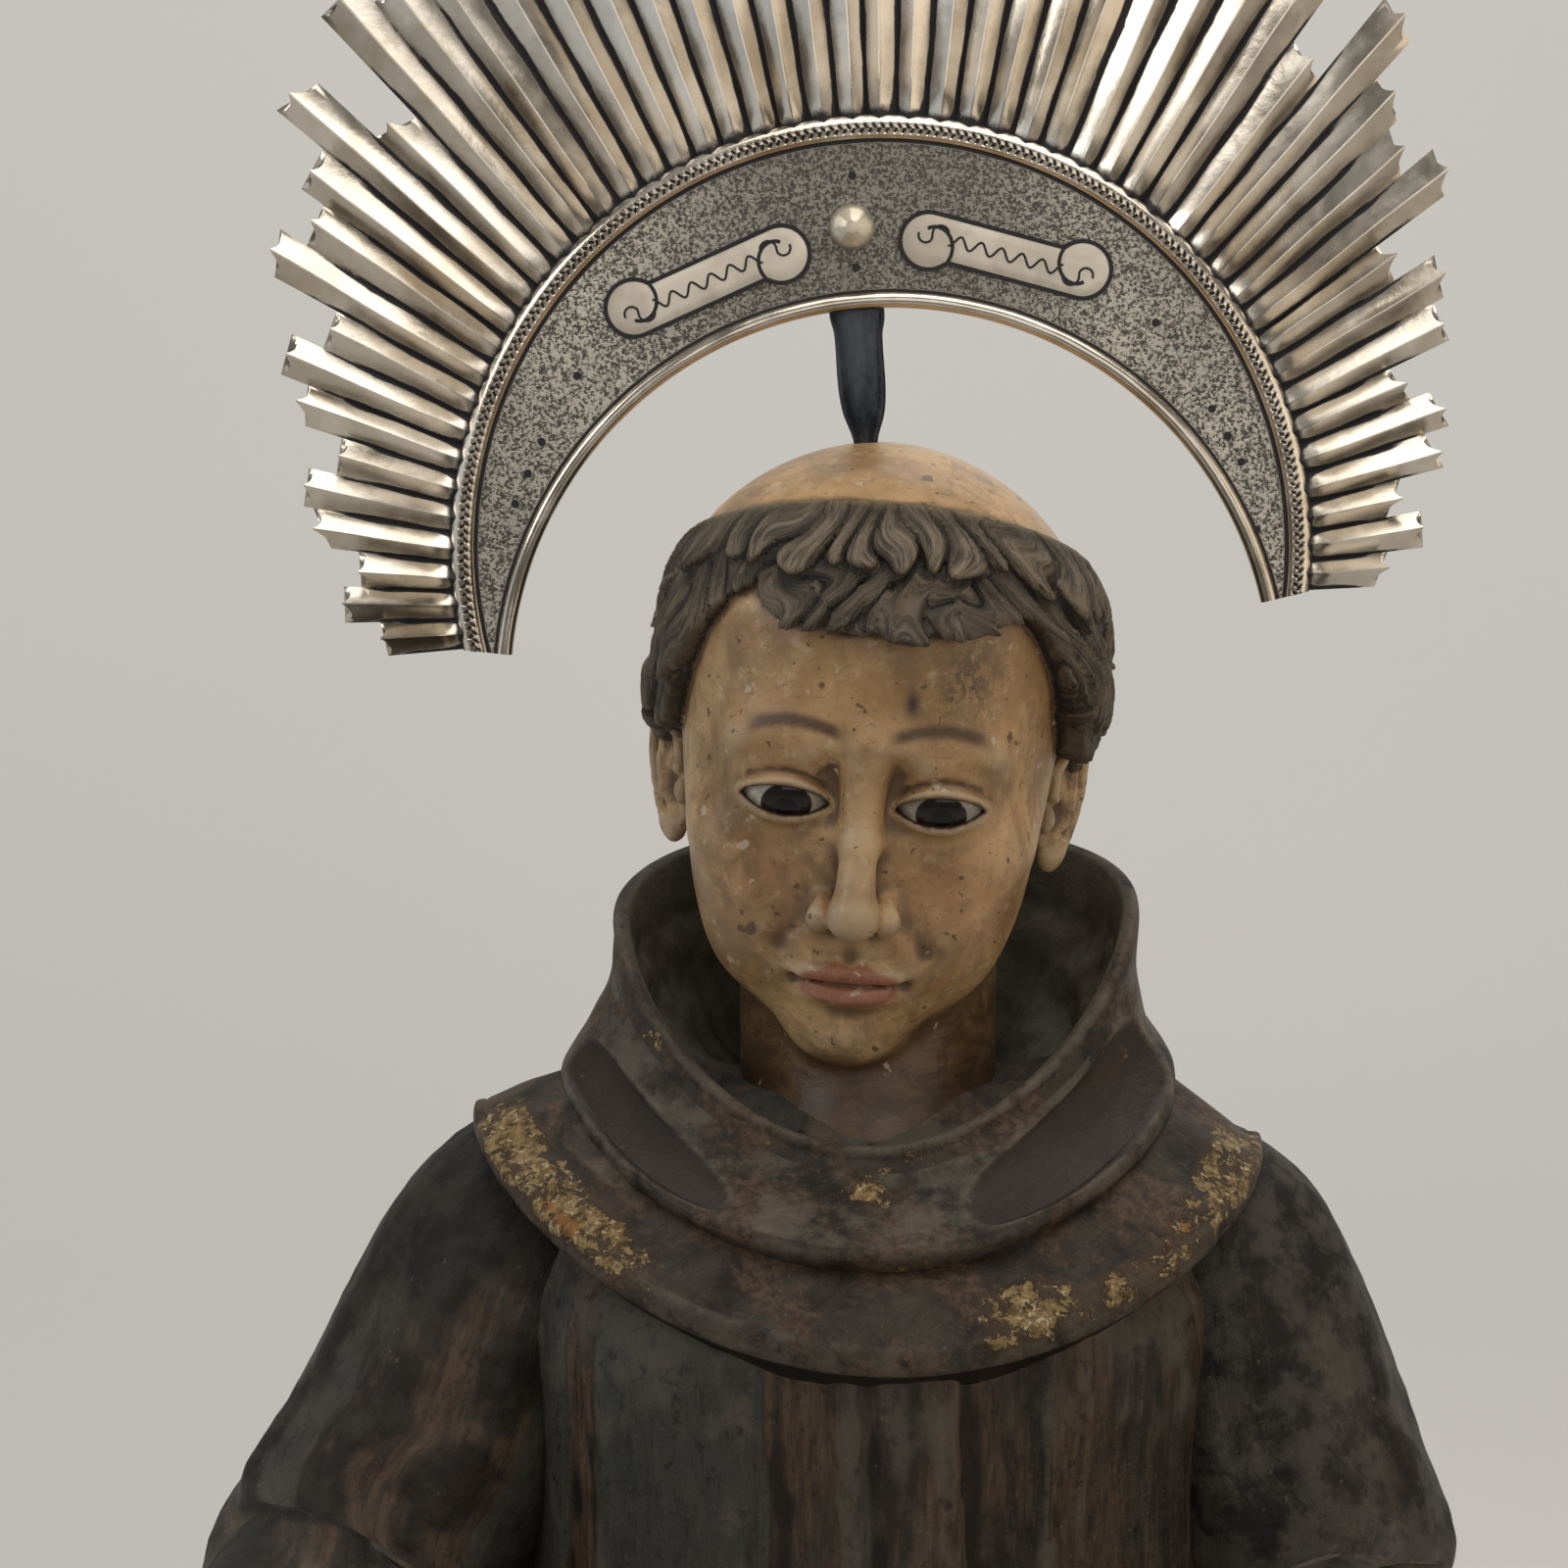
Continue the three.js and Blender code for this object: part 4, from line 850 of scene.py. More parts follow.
def hair_relief(x, y, z):
    """Height of the carved locks, in tiers that each swell and end in a gouged step, how far up the tiers
    a point is, and its place across and along the combed hair."""
    below = below_crown(y, z)
    around = np.arctan2(x, 6 - y)
    swept = smoothstep(np.abs(around), 0.8, 1.5) * np.sign(around)
    fan = 1 - 0.2 * (below / 20 - 1) * bell(around / 0.75)
    height, rank, combed = np.zeros_like(below), np.zeros_like(below), np.zeros((len(below), 3))
    start = np.zeros_like(below)
    draws = LOCK_DRAWS.shape[1]
    for tier, (end, spread, count, shift) in enumerate(LOCK_TIERS):
        curl = 0.42 * np.sin(below / 5.5 + 2.6 * np.sin(4 * around + tier))
        curl = curl + (0.45 + 0.25 * (around < 0)) * np.abs(swept) * np.sin(below / 9 + tier)
        slant = 0.75 * np.sin(3.4 * around + 1.1 * tier) * (below - start) / 20
        phase = count * LOCKS * around * fan / (2 * np.pi) + shift + curl + swept * below / 34 + slant
        number = np.floor(phase)
        across = 2 * (phase - number) - 1
        draw = LOCK_DRAWS[tier][number.astype(int) % draws]
        next_draw = LOCK_DRAWS[tier][(number.astype(int) + 7) % draws]
        tip = across - 0.45 * next_draw
        finish = end + spread * draw - 4.6 * tip**2
        rounded = 1 - np.abs(across) ** 1.6
        strand = np.sin(2 * np.pi * 3 * phase + 1.3 * np.sin(below / 5))
        share = np.clip((below - start) / (finish - start), 0, 1)
        first = 0.5 if tier == 0 else -1.1
        gouge = (1.2 if tier == 0 else 2.2) + (1.9 if tier == 0 else 0.9) * share
        lock = first + smoothstep(share, 0, 0.7) * (2.3 - first + 0.8 * draw)
        lock = lock - gouge * (1 - rounded) * smoothstep(share, 0, 0.25)
        lock = lock + 0.45 * strand * smoothstep(share, 0, 0.3)
        within = smoothstep(below, start - 0.9, start + 0.7) if tier else 1.0
        height = lerp(height, lock, within)
        rank = lerp(rank, 1.0 - 0.5 * (tier > 0) - 0.1 * (tier > 1) + 0.12 * draw, within)
        place = np.stack([0.013 * phase, 0.00012 * below, 0.3 * tier + 0.05 * draw], -1)
        combed = np.where(np.broadcast_to(within, below.shape)[:, None] > 0.5, place, combed)
        start = finish
    return height, rank, combed


def hair_field(p):
    x, y, z = p.T
    height, _, _ = hair_relief(x, y, z)
    over_skull = ellipsoid(p, (1.0, 7, 29.5), (58.5, 60.5, 49.5))
    cap = smin(ellipsoid(p, HAIR_CENTRE, HAIR_RADII), over_skull, 3) + 1.2 - height
    side = np.arctan2(y - 6, np.abs(x))
    edge = HAIR_EDGE(side) + 0.3 - 0.55 * (height - 1) + 0.5 * np.sin(x / 3.1)
    under = (edge - z) * np.where(side < -0.7, 0.8, 0.55)
    return smax(smax(cap, -below_crown(y, z), 3.0), under, 2.6)


def head_field(p):
    return smin(face_field(p), hair_field(p), 0.8)


def axis_steps(knots):
    """Grid positions from knots of position and step size."""
    at, steps = np.transpose(knots)
    places = [at[0]]
    while places[-1] < at[-1]:
        places.append(places[-1] + np.interp(places[-1], at, steps) * COARSE)
    return np.array(places)


def skin_marks(points, faces, soil_and_shade):
    """Marks of a piece that is all bare skin."""
    return {"soil_and_shade": np.full(len(points), soil_and_shade), "ridge": relief_of_mesh(points, faces)}


def patch(x, z, x0, z0, half_width, half_height):
    """Soft round spot seen from the front."""
    return bell((x - x0) / half_width) * bell((z - z0) / half_height)


def head():
    xs = axis_steps([[-68, 1.3], [-44, 1.08], [-34, 0.92], [34, 0.92], [44, 1.08], [69, 1.3]])
    ys = axis_steps([[-74, 0.9], [-40, 1.0], [-20, 1.4], [84, 1.8]])
    zs = axis_steps([[-140, 2.0], [-90, 1.6], [-78, 0.97], [60, 0.97], [82, 1.5]])
    points, faces = surface(head_field, (xs, ys, zs))
    x, y, z = points.T
    q = np.abs(x)
    hair = smoothstep(face_field(points) - hair_field(points), -0.25, 0.35)
    below = below_crown(y, z)
    height, rank, combed = hair_relief(x, y, z)
    lips_top = -40.4 - 0.12 * q - 0.9 * bell(q / 1.6) + 0.9 * bell((q - 3.6) / 2.4) - 0.014 * q**2
    lips_low = -53.4 + 0.026 * q**2
    lips = smoothstep(lips_top - z, -0.6, 0.6) * smoothstep(z - lips_low, -0.6, 0.6)
    lips = lips * smoothstep(13.4 - q, 0, 2) * (y < -44)
    brow_line = 17.5 + 3.4 * np.clip(1 - ((q - 17) / 15) ** 2, -1, 1) - 0.08 * np.maximum(q - 20, 0)
    brow = bell((z - brow_line) / 1.8, 4) * smoothstep(q, 4, 9) * (1 - smoothstep(q, 27, 33)) * (y < -25)
    opening = eye_opening(q, z)
    near_eye = (y < -43) * (np.abs(q - EYE["x"]) < LID_HALF + 2) * (np.abs(z) < 9)
    lid_line = bell((opening - 0.2) / 0.8) * near_eye * lerp(0.55, 1, smoothstep(z, -2.5, 0.5))
    lining = (opening < 0.1) * near_eye
    crease = bell((z - lid_crease(q)) / 0.8) * near_eye
    line = np.clip(0.9 * brow + 0.9 * lid_line + 0.6 * crease + lining, 0, 1)
    between = bell((z - mouth_line(q)) / 0.7) * (q < 14) * (y < -46)
    line = np.maximum(line, 0.75 * between)
    blush = patch(q, z, 27, -22, 11, 12) * (y < -15)
    # Darker patches by the mouth corners, beside the nose wings, under the eyes, on the right cheek and over
    # the ears, and darker towards the chin: dirt, with painted shade beside the nose wings.
    soil_and_shade = 0.45 * patch(q, z, 22, -44, 9, 12) + 0.5 * patch(q, z, 12, -27, 5, 7)
    soil_and_shade = (soil_and_shade + 0.7 * smoothstep(-z, 50, 68) + 0.45 * patch(q, z, 19, -11, 11, 5)) * (y < -20)
    soil_and_shade = np.maximum(soil_and_shade, 0.75 * patch(x, z, -31, -20, 13, 17) * (y < -5))
    world = head_to_world(points)
    # Brown stain on the neck below the chin, fading higher up; it also paints the shade under the chin.
    neck_stain_and_shade = (1 - smoothstep(neck_field(points), 0.4, 5)) * smoothstep(-z, 40, 58) * (1 - hair)
    neck_stain_and_shade = neck_stain_and_shade * lerp(1, 0.72, smoothstep(world[:, 2], 901, 911))
    ears = smoothstep(q, 45, 51) * (1 - smoothstep(z, -2, 6)) * smoothstep(z, -44, -34)
    soil_and_shade = np.maximum(soil_and_shade, 0.8 * ears)
    worn = patch(x, z, 24, 33, 8, 9) * (y < -20)
    chip = patch(x, z, 10.5, 27.5, 1.8, 3.2) * (y < -30)
    rank = rank * lerp(1, 0.62, smoothstep(np.abs(np.arctan2(x, 6 - y)), 0.5, 1.2))
    dust = hair * np.clip(1.6 * rank - 0.6, 0, 1) * smoothstep(height, 0.0, 2.4)
    marks = {
        "hair": hair, "lips": lips, "line": line, "blush": blush, "soil_and_shade": soil_and_shade, "worn": worn, "chip": chip,
        "neck_stain_and_shade": neck_stain_and_shade, "dust": dust, "crown": bell(below / 1.6), "ridge": relief_of_mesh(points, faces),
        "flow": combed,
    }
    return mesh_object("head_carving", world, [faces], marks)


def eyes():
    """Glass eyes, each a dark disc painted behind a pale shell, set behind the lids."""
    made = []
    a = angles(int(72 / COARSE))
    polar = np.linspace(math.pi / 2, 0.05, int(34 / COARSE))[:, None]
    unit = np.sin(polar) * np.cos(a), -np.cos(polar), np.sin(polar) * np.sin(a)
    unit = np.stack(np.broadcast_arrays(*unit), -1)
    gaze = np.array([0.04, -1, -0.1])
    gaze /= np.linalg.norm(gaze)
    for name, side in (("right_eye", -1), ("left_eye", 1)):
        dome = unit * EYE_RADII
        back = dome[:1] * [1, 0, 1] + [0, EYE["back"], 0]
        off = np.degrees(np.arccos(np.clip(unit @ gaze, -1, 1)))
        off = np.concatenate([off[:1], off])
        rings = np.concatenate([back, dome]) + [EYE["x"] * side, EYE["y"], EYE["z"]]
        made.append((loft(name + "_glass", head_to_world(rings), {"off": off}), name))
    return made


# Hands and feet. Each finger has its base, the lengths of its bones, its radius, its bend and its splay
FINGERS = [
    ((-16, -46, 0), (16, 11, 9), 5.2, 16, 0), ((-5.5, -50, 1), (19, 13, 10), 5.6, 12, 0),
    ((5.5, -50, 1), (20, 14, 10), 5.8, 9, 0), ((16, -47, 0), (18, 12, 10), 5.6, 7, 0),
    ((16, -18, -5), (17, 14, 12), 6.2, 8, 38),
]
FINGER_ROOM = 6.0  # length at the fingertips that is eased back until it stays inside the solid's box
HAND_POSE = {"right": (62, 8, 6), "left": (150, 4, -8)}  # degrees of turn of the palm, of lift and of toe


def finger_points(base, lengths, radius, bend, splay):
    point = np.array(base, float)
    points, radii = [point], [radius]
    drop = 6.0 if splay else 0.0
    for i, length in enumerate(lengths):
        drop += bend
        side = math.radians(splay * (1 - 0.35 * i))
        point = point + length * np.array([
            math.sin(side), -math.cos(side) * math.cos(math.radians(drop)), -math.sin(math.radians(drop))])
        points.append(point)
        radii.append(radius * (1 - 0.1 * (i + 1)))
    return points, radii


def hand_field(p):
    palm = ellipsoid(p, (0, -32, -0.5), (23, 29, 9.5))
    palm = smin(palm, limb(p, (0, 34, 0), (0, -8, 0), 13.2, 13), 10)
    palm = smin(palm, ellipsoid(p, (15, -22, -4), (10, 17, 8)), 6)
    palm = smin(palm, ellipsoid(p, (-15, -28, -3), (8, 20, 7)), 6)
    d = palm
    for base, lengths, radius, bend, splay in FINGERS:
        points, radii = finger_points(base, lengths, radius, bend, splay)
        start = np.array(base, float) + ([-4, 14, 2] if splay else [0, 18, 0.5])
        digit = chain(p, [start, *points], [radius * 0.95, *radii])
        for joint, r in zip(points[1:-1], radii[1:-1]):
            digit = smin(digit, np.sqrt(((p - joint) ** 2).sum(-1)) - r * 1.04, 2)
        d = smin(d, digit, 2.2)
        ahead = points[-1] - points[-2]
        ahead /= np.linalg.norm(ahead)
        nail = points[-1] + ahead * radius * 0.25 + [0, 0, radius * 0.62]
        d = smin(d, ellipsoid(p, nail, (radius * 0.55, radius * 0.75, radius * 0.22)), 0.4)
    return d


def hand(name):
    palm, lift, toe = HAND_POSE[name]
    mirror = 1 if name == "right" else -1
    x, y, z = SLEEVES[name]["centres"][-1]
    floor = y + CUFF_DEPTH - GAP
    place = np.array([x, floor - 22, z + 8])
    spin = turn("Z", -toe) @ turn("X", -lift) @ turn("Y", mirror * palm) @ np.diag([mirror, 1, 1])

    def field(p):
        return np.maximum(hand_field(p), (p @ spin.T + place)[:, 1] - floor)

    step = 1.25 * COARSE
    axes = (np.arange(-34, 62, step), np.arange(-104, 34, step), np.arange(-48, 20, step))
    points, faces = surface(field, axes)
    if mirror < 0:
        faces = faces[:, ::-1]
    placed = points @ spin.T + place
    room = placed[:, 1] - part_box(name + "_hand")[0][1] * 1000
    share = 1 - FINGER_ROOM / max(FINGER_ROOM - room.min(), FINGER_ROOM)
    placed[:, 1] += np.clip(FINGER_ROOM - room, 0, None) * share
    return mesh_object(name + "_hand_carving", placed, [faces], skin_marks(points, faces, 0.25))


# Toes: place across and forward, radius and length
TOES = [(-17, -117, 8.2, 26), (-6, -117, 6.2, 23), (3.5, -115, 5.8, 21), (12, -112, 5.4, 19),
        (19.5, -108, 5.0, 16)]
FOOT_X, FOOT_TURN = 52, 0.16


def foot(side):
    """Bare toes and the front of a foot under the hem."""
    turn_out = FOOT_TURN * side
    shift = np.array([FOOT_X * side, 0, HEM_Z])

    def field(p):
        local = p.copy()
        local[:, 0] -= turn_out * (-p[:, 1] - 60)
        local[:, 0] *= side
        body = limb(local, (0, -40, 14), (0, -100, 10), 22, 15)
        body = smin(body, ellipsoid(local, (0, -104, 6), (25, 22, 12)), 8)
        for tx, ty, r, length in TOES:
            toe = limb(local, (tx, ty + 10, r + 1), (tx * 1.04, ty - length + 9, r * 0.95), r, r * 0.92)
            body = smin(body, toe, 2.2)
            nail = (tx * 1.04, ty - length + 7, r * 1.78)
            body = smin(body, ellipsoid(local, nail, (r * 0.6, r * 0.7, r * 0.22)), 0.4)
        return np.maximum(body, -p[:, 2])

    step = 1.6 * COARSE
    axes = (np.arange(-42, 42, step), np.arange(-152, -60, step), np.arange(-3, 42, step))
    points, faces = surface(field, axes)
    name = "left_foot" if side > 0 else "right_foot"
    return mesh_object(name, points + shift, [faces], skin_marks(points, faces, 0.4))


# Halo, in its own upright plane: x across, z up, front towards -y
HALO_TURN = turn("Y", HALO["roll"])
RAY_COUNT = 2 * len(RAY_LENGTHS) - 1


def halo_to_world(points):
    return points @ HALO_TURN.T + np.array(HALO["centre"], float)


def world_to_halo(x, z):
    return (np.array([x, HALO["centre"][1], z]) - HALO["centre"]) @ HALO_TURN


def halo_angle(share):
    return np.radians(90 + HALO["half_span"] - 2 * HALO["half_span"] * np.asarray(share, float))


def outer_point(share, inset=0.0):
    a = halo_angle(share)
    r = HALO["outer"] - inset
    return np.stack([r * np.cos(a), r * np.sin(a)], -1)


def inner_point(share):
    o = outer_point(share)
    rise = HALO["inner_drop"] + 24 * (1 - np.abs(2 * np.asarray(share) - 1))
    a = np.arctan2(o[..., 1] + rise, o[..., 0])
    return np.stack([HALO["inner"] * np.cos(a), HALO["inner"] * np.sin(a) - HALO["inner_drop"]], -1)


STROKE_PITCH = 2.3


def halo_band():
    """Sheet of the band: a roll with two rows of slanting strokes, the punched ground and a smooth rim."""
    share = np.linspace(0, 1, int(1500 / COARSE))
    length = share * np.radians(2 * HALO["half_span"]) * HALO["outer"]
    outer, inner = outer_point(share), inner_point(share)
    width = np.linalg.norm(outer - inner, axis=-1)
    rim, rope = HALO["rim"], HALO["rope_width"]
    columns = []

    def column(from_outer, height, tarnish, stipple=0.0):
        values = from_outer / width, height, tarnish, stipple
        columns.append([np.broadcast_to(v, share.shape) for v in values])

    column(width, -HALO["sheet"], 0.3)
    column(0, -HALO["sheet"], 0.3)
    column(0, 0, 1)
    column(0.25, 0, 1)
    for across in np.linspace(0.05, 0.95, 21):
        roll = HALO["rope_height"] * (1 - abs(2 * across - 1) ** 2.4)
        row = (across - 0.52) / 0.24
        lean = 0.4 * row if row > 0 else 0.5 - 0.4 * row
        stroke = np.cos(2 * np.pi * (length / STROKE_PITCH + lean + 0.07 * np.sin(length / 9)))
        cut = float(smoothstep(1 - abs(row), 0, 0.3)) * (1 - smoothstep(stroke, -0.8, 0.1))
        column(0.25 + across * (rope - 0.25), roll - 0.6 * cut, np.clip(0.85 * cut + (across > 0.94), 0, 1))
    column(rope, 0, 1)
    column(rope + 0.55, 0, 1)
    last = width - 2 * rim - 0.9
    for k in range(7):
        column(lerp(rope + 0.9, last, k / 6), 0, 0, 1)
    column(last + 0.4, 0, 1)
    dents = 1 + 0.05 * np.sin(length / 5.3 + 2 * np.sin(length / 23)) - 0.05
    for t in np.linspace(0, math.pi, 11):
        column(width - rim - rim * math.cos(t) * 0.99, rim * math.sin(t) * dents, 0.9 if t == 0 else 0.05)
    at, height, tarnish, stipple = np.array(columns).transpose(1, 2, 0)
    flat = outer[:, None] + (inner - outer)[:, None] * at[..., None]
    rings = np.stack([flat[..., 0], -HALO["sheet"] / 2 - height, flat[..., 1]], -1)
    return rings, {"tarnish": tarnish, "stipple": stipple}


def ray_rings(i):
    """One ray: a strip folded along a sharp crest, nipped off to a point at its crest and both corners."""
    length = RAY_LENGTHS[min(i, RAY_COUNT - 1 - i)]
    rng = np.random.default_rng(100 + i)
    crest_at = 0.5 + rng.uniform(-0.07, 0.07)
    half = np.array([0, 0.06, 0.14, 0.26, 0.4, 0.55, 0.7, 0.85, 0.96])
    v = np.concatenate([crest_at * half, 1 - (1 - crest_at) * half[::-1]])
    rise = np.concatenate([half, half[::-1]])
    hollow = rng.uniform(0.05, 0.3)
    profile = HALO["edge"] * 0.3 + (HALO["crest"] - HALO["edge"] * 0.3) * (rise - hollow * rise * (1 - rise))
    nips = rng.uniform(1.6, 2.8, 2)
    drops = rng.uniform(0, 1.2, 2) + (rng.random(2) < 0.35) * rng.uniform(2, 5, 2)
    side = np.repeat([0, 1], len(half))
    arc_cut = nips[side] * (4 * rise * (1 - rise)) ** 0.8 + drops[side] * (1 - rise)
    waver = rng.uniform(0, 6.3, 3)
    rings, tarnish = [], []
    back = HALO["sheet"] / 2
    for s in np.linspace(0, 1, int(16 / COARSE) + 1):
        reach = np.maximum(length - arc_cut, 1) * s
        inner = np.sin(np.pi * v) * 0.012 * np.sin(length * s / 7 + waver[0])
        o = outer_point((i + v + inner) / RAY_COUNT, 1.5)
        spread = np.arctan2(o[:, 1] + HALO["ray_drop"], o[:, 0])
        flat = o + np.stack([np.cos(spread), np.sin(spread)], -1) * reach[:, None]
        taper = lerp(0.55, 1, smoothstep(s * length, -1, 7))
        front = np.stack([flat[:, 0], back - profile * taper, flat[:, 1]], -1)
        behind = front[[-1, 0]]
        behind[:, 1] = back
        rings.append(np.concatenate([front, behind]))
        # Tarnish darkens each ray towards the valleys between rays, over a width that also paints the shade of
        # the valleys.
        wide = lerp(0.26, 0.44, 0.5 + 0.5 * np.sin(length * s / 4 + waver[1 + side]))
        valley = 1 - smoothstep(rise, 0.06, wide)
        valley = valley * (1 - 0.8 * float(smoothstep(s, 0.6, 1.0)))
        foot = bell(s * length / 3.2)
        tarnish.append(np.concatenate([np.clip(valley + foot, 0, 1), [0.3, 0.3]]))
    return np.array(rings), {"tarnish": np.array(tarnish)}


def upright(line, y):
    """Points of a flat line in the halo's plane, at depth y."""
    return np.stack([line[:, 0], np.full(len(line), y), line[:, 1]], -1)


def ribbon(line, width, y, tarnish=1.0):
    """Dark line along points in the halo's plane, as a thin closed strip."""
    line = np.asarray(line, float)
    ahead = np.gradient(line, axis=0)
    ahead /= np.linalg.norm(ahead, axis=1, keepdims=True) + 1e-9
    side = np.stack([-ahead[:, 1], ahead[:, 0]], -1) * width / 2
    corners = [(line + side, y), (line - side, y), (line - side, y + 0.25), (line + side, y + 0.25)]
    rings = np.stack([upright(*corner) for corner in corners], 1)
    return rings, {"tarnish": np.full(rings.shape[:2], tarnish)}


def arc(centre, radius, start, end, count=24):
    t = np.radians(np.linspace(start, end, count))
    return np.stack([centre[0] + radius * np.cos(t), centre[1] + radius * np.sin(t)], -1)


# Cartouches: middle, tilt in degrees and whether the scrolls are turned over
CARTOUCHES = [((-41.3, 74.3), 20.4, 1), ((38.4, 75.6), -19, -1)]


def cartouche(middle, tilt, flip):
    """Smooth plate with a scroll at each end, its outline cut in black and a thin wave engraved along it."""
    half, lift, reach = 6.0, 1.6, 20.8
    bulb = half + lift
    start = math.degrees(math.asin((half - lift) / bulb))
    left, right = (-reach, lift), (reach, -lift)
    outline = np.concatenate([arc(left, bulb, start, 270, 40), arc(right, bulb, 180 + start, 450, 40)])
    hook_angles = np.radians(np.linspace(start, -110, 24))
    shrink = np.linspace(bulb, 0.42 * bulb, 24)
    hook = np.stack([left[0] + shrink * np.cos(hook_angles), left[1] + shrink * np.sin(hook_angles)], -1)
    s = np.linspace(-15.5, 15.5, 140)
    wave = np.stack([s, 1.5 * np.sin(2 * np.pi * s / 5.6)], -1)
    scroll = [arc((-reach + 2.6, -1.0), 2.2, -20, -200, 16), arc((-reach - 1.2, 0.4), 1.9, 10, 190, 16)]
    scroll = np.concatenate(scroll)
    engraved = [wave, scroll, -scroll]
    turned = turn("Z", -tilt)[:2, :2]

    def place(line):
        return middle + (np.asarray(line) * [flip, 1]) @ turned

    ground = -HALO["sheet"] / 2
    spine = np.stack([np.clip(outline[:, 0], -reach, reach), outline[:, 1] * 0.02], -1)
    rows = []
    for share, rise in ((1.0, -0.4), (1.0, 0.2), (0.93, 0.42), (0.5, 0.5), (0.02, 0.52)):
        flat = place(lerp(spine, outline, share))
        rows.append(upright(flat, ground - rise)[::flip])
    rows = np.array(rows)[:, ::-1]
    parts = [(rows, {"dull": np.ones(rows.shape[:2])})]
    parts.append(ribbon(place(np.concatenate([outline, outline[:1]])), 1.15, ground - 0.5))
    parts += [ribbon(place(line), 1.0, ground - 0.56) for line in (hook, -hook)]
    parts += [ribbon(place(line), 0.62, ground - 0.68, 0.9) for line in engraved]
    return parts


# Pin holes, by their places in the photo in pixels, each drawn as a black disc just proud of the ground that
# paints the dark of the hole
PINHOLES = [(868, 184), (872, 275), (593, 383), (557, 449), (543, 481), (530, 511), (1172, 330), (1229, 416),
            (1245, 443), (1259, 469), (1275, 537)]
PIN_RADIUS = 1.1


def halo():
    parts = [halo_band()]
    parts += [ray_rings(i) for i in range(RAY_COUNT)]
    for middle, tilt, flip in CARTOUCHES:
        parts += cartouche(np.array(middle), tilt, flip)
    ground = -HALO["sheet"] / 2
    for px, py in PINHOLES:
        middle = PHOTO_WIDTH / 2
        spot = world_to_halo(CAMERA_X + (px - middle) * PIXEL, CAMERA_Z + (middle - py) * PIXEL)
        # Painted shade: a black disc a little proud of the ground stands for the dark inside the hole.
        rim = arc((spot[0], spot[2]), PIN_RADIUS, 330, 0, 12)
        rings = np.stack([upright(rim, ground + 0.3), upright(rim, ground - 0.22)])
        parts.append((rings, {"tarnish": np.ones(rings.shape[:2])}))
    points, faces, marks = tubes(parts)
    return mesh_object("halo_silver", halo_to_world(points), faces, marks, smooth_angle=30)


# Halo boss: radius and distance forward
BOSS_PROFILE = [(6.15, 0), (6.15, 0.4), (6.0, 1.5), (5.5, 2.7), (4.7, 3.7), (2.3, 5.3), (1.7, 5.7),
                (0.3, 5.8)]
BOSS_FACETS = 8
BOSS_X, BOSS_Z = -2, 86.0


def boss():
    """Button hammered to a low cone of facets."""
    a = angles(48)
    half = np.pi / BOSS_FACETS
    flat = np.cos(half) / np.cos(a % (2 * half) - half)
    rings = []
    for r, forward in BOSS_PROFILE:
        reach = r * lerp(1, flat, smoothstep(forward, 2.5, 4.5) * smoothstep(r, 0.2, 1.5))
        rings.append(upright(np.stack([reach * np.cos(a), reach * np.sin(a)], -1), -forward))
    centre = [BOSS_X, -HALO["sheet"] / 2 - GAP, BOSS_Z]
    return loft("boss_silver", halo_to_world(np.array(rings) + centre), smooth_angle=24)


TANG_Y, TANG_X = -9.5, -1
TANG_FOOT, TANG_LEAN = 1070, 0.07
TANG_POWER = 0.75
# Iron tang: height, half width and half depth
TANG_STATIONS = [[1057, 1.6, 1.5], [1072, 3.4, 1.8], [1079, 5.6, 2.2], [1086, 6.4, 2.2], [1100, 6.5, 1.6],
                 [1105, 7.4, 1.3], [1129, 7, 1.1]]


def tang():
    a = angles(40)
    z, half_widths, half_depths = np.array(TANG_STATIONS, float).T
    t = np.linspace(z[0], z[-1], int(90 / COARSE))
    width, depth = [smooth(list(zip(z, values)))(t) for values in (half_widths, half_depths)]
    lean = TANG_X - (t - TANG_FOOT) * TANG_LEAN
    across = lean[:, None] + width[:, None] * squared(np.cos(a), TANG_POWER)
    forward = TANG_Y + depth[:, None] * squared(np.sin(a), TANG_POWER)
    return loft("tang_iron", np.stack(np.broadcast_arrays(across, forward, t[:, None]), -1))


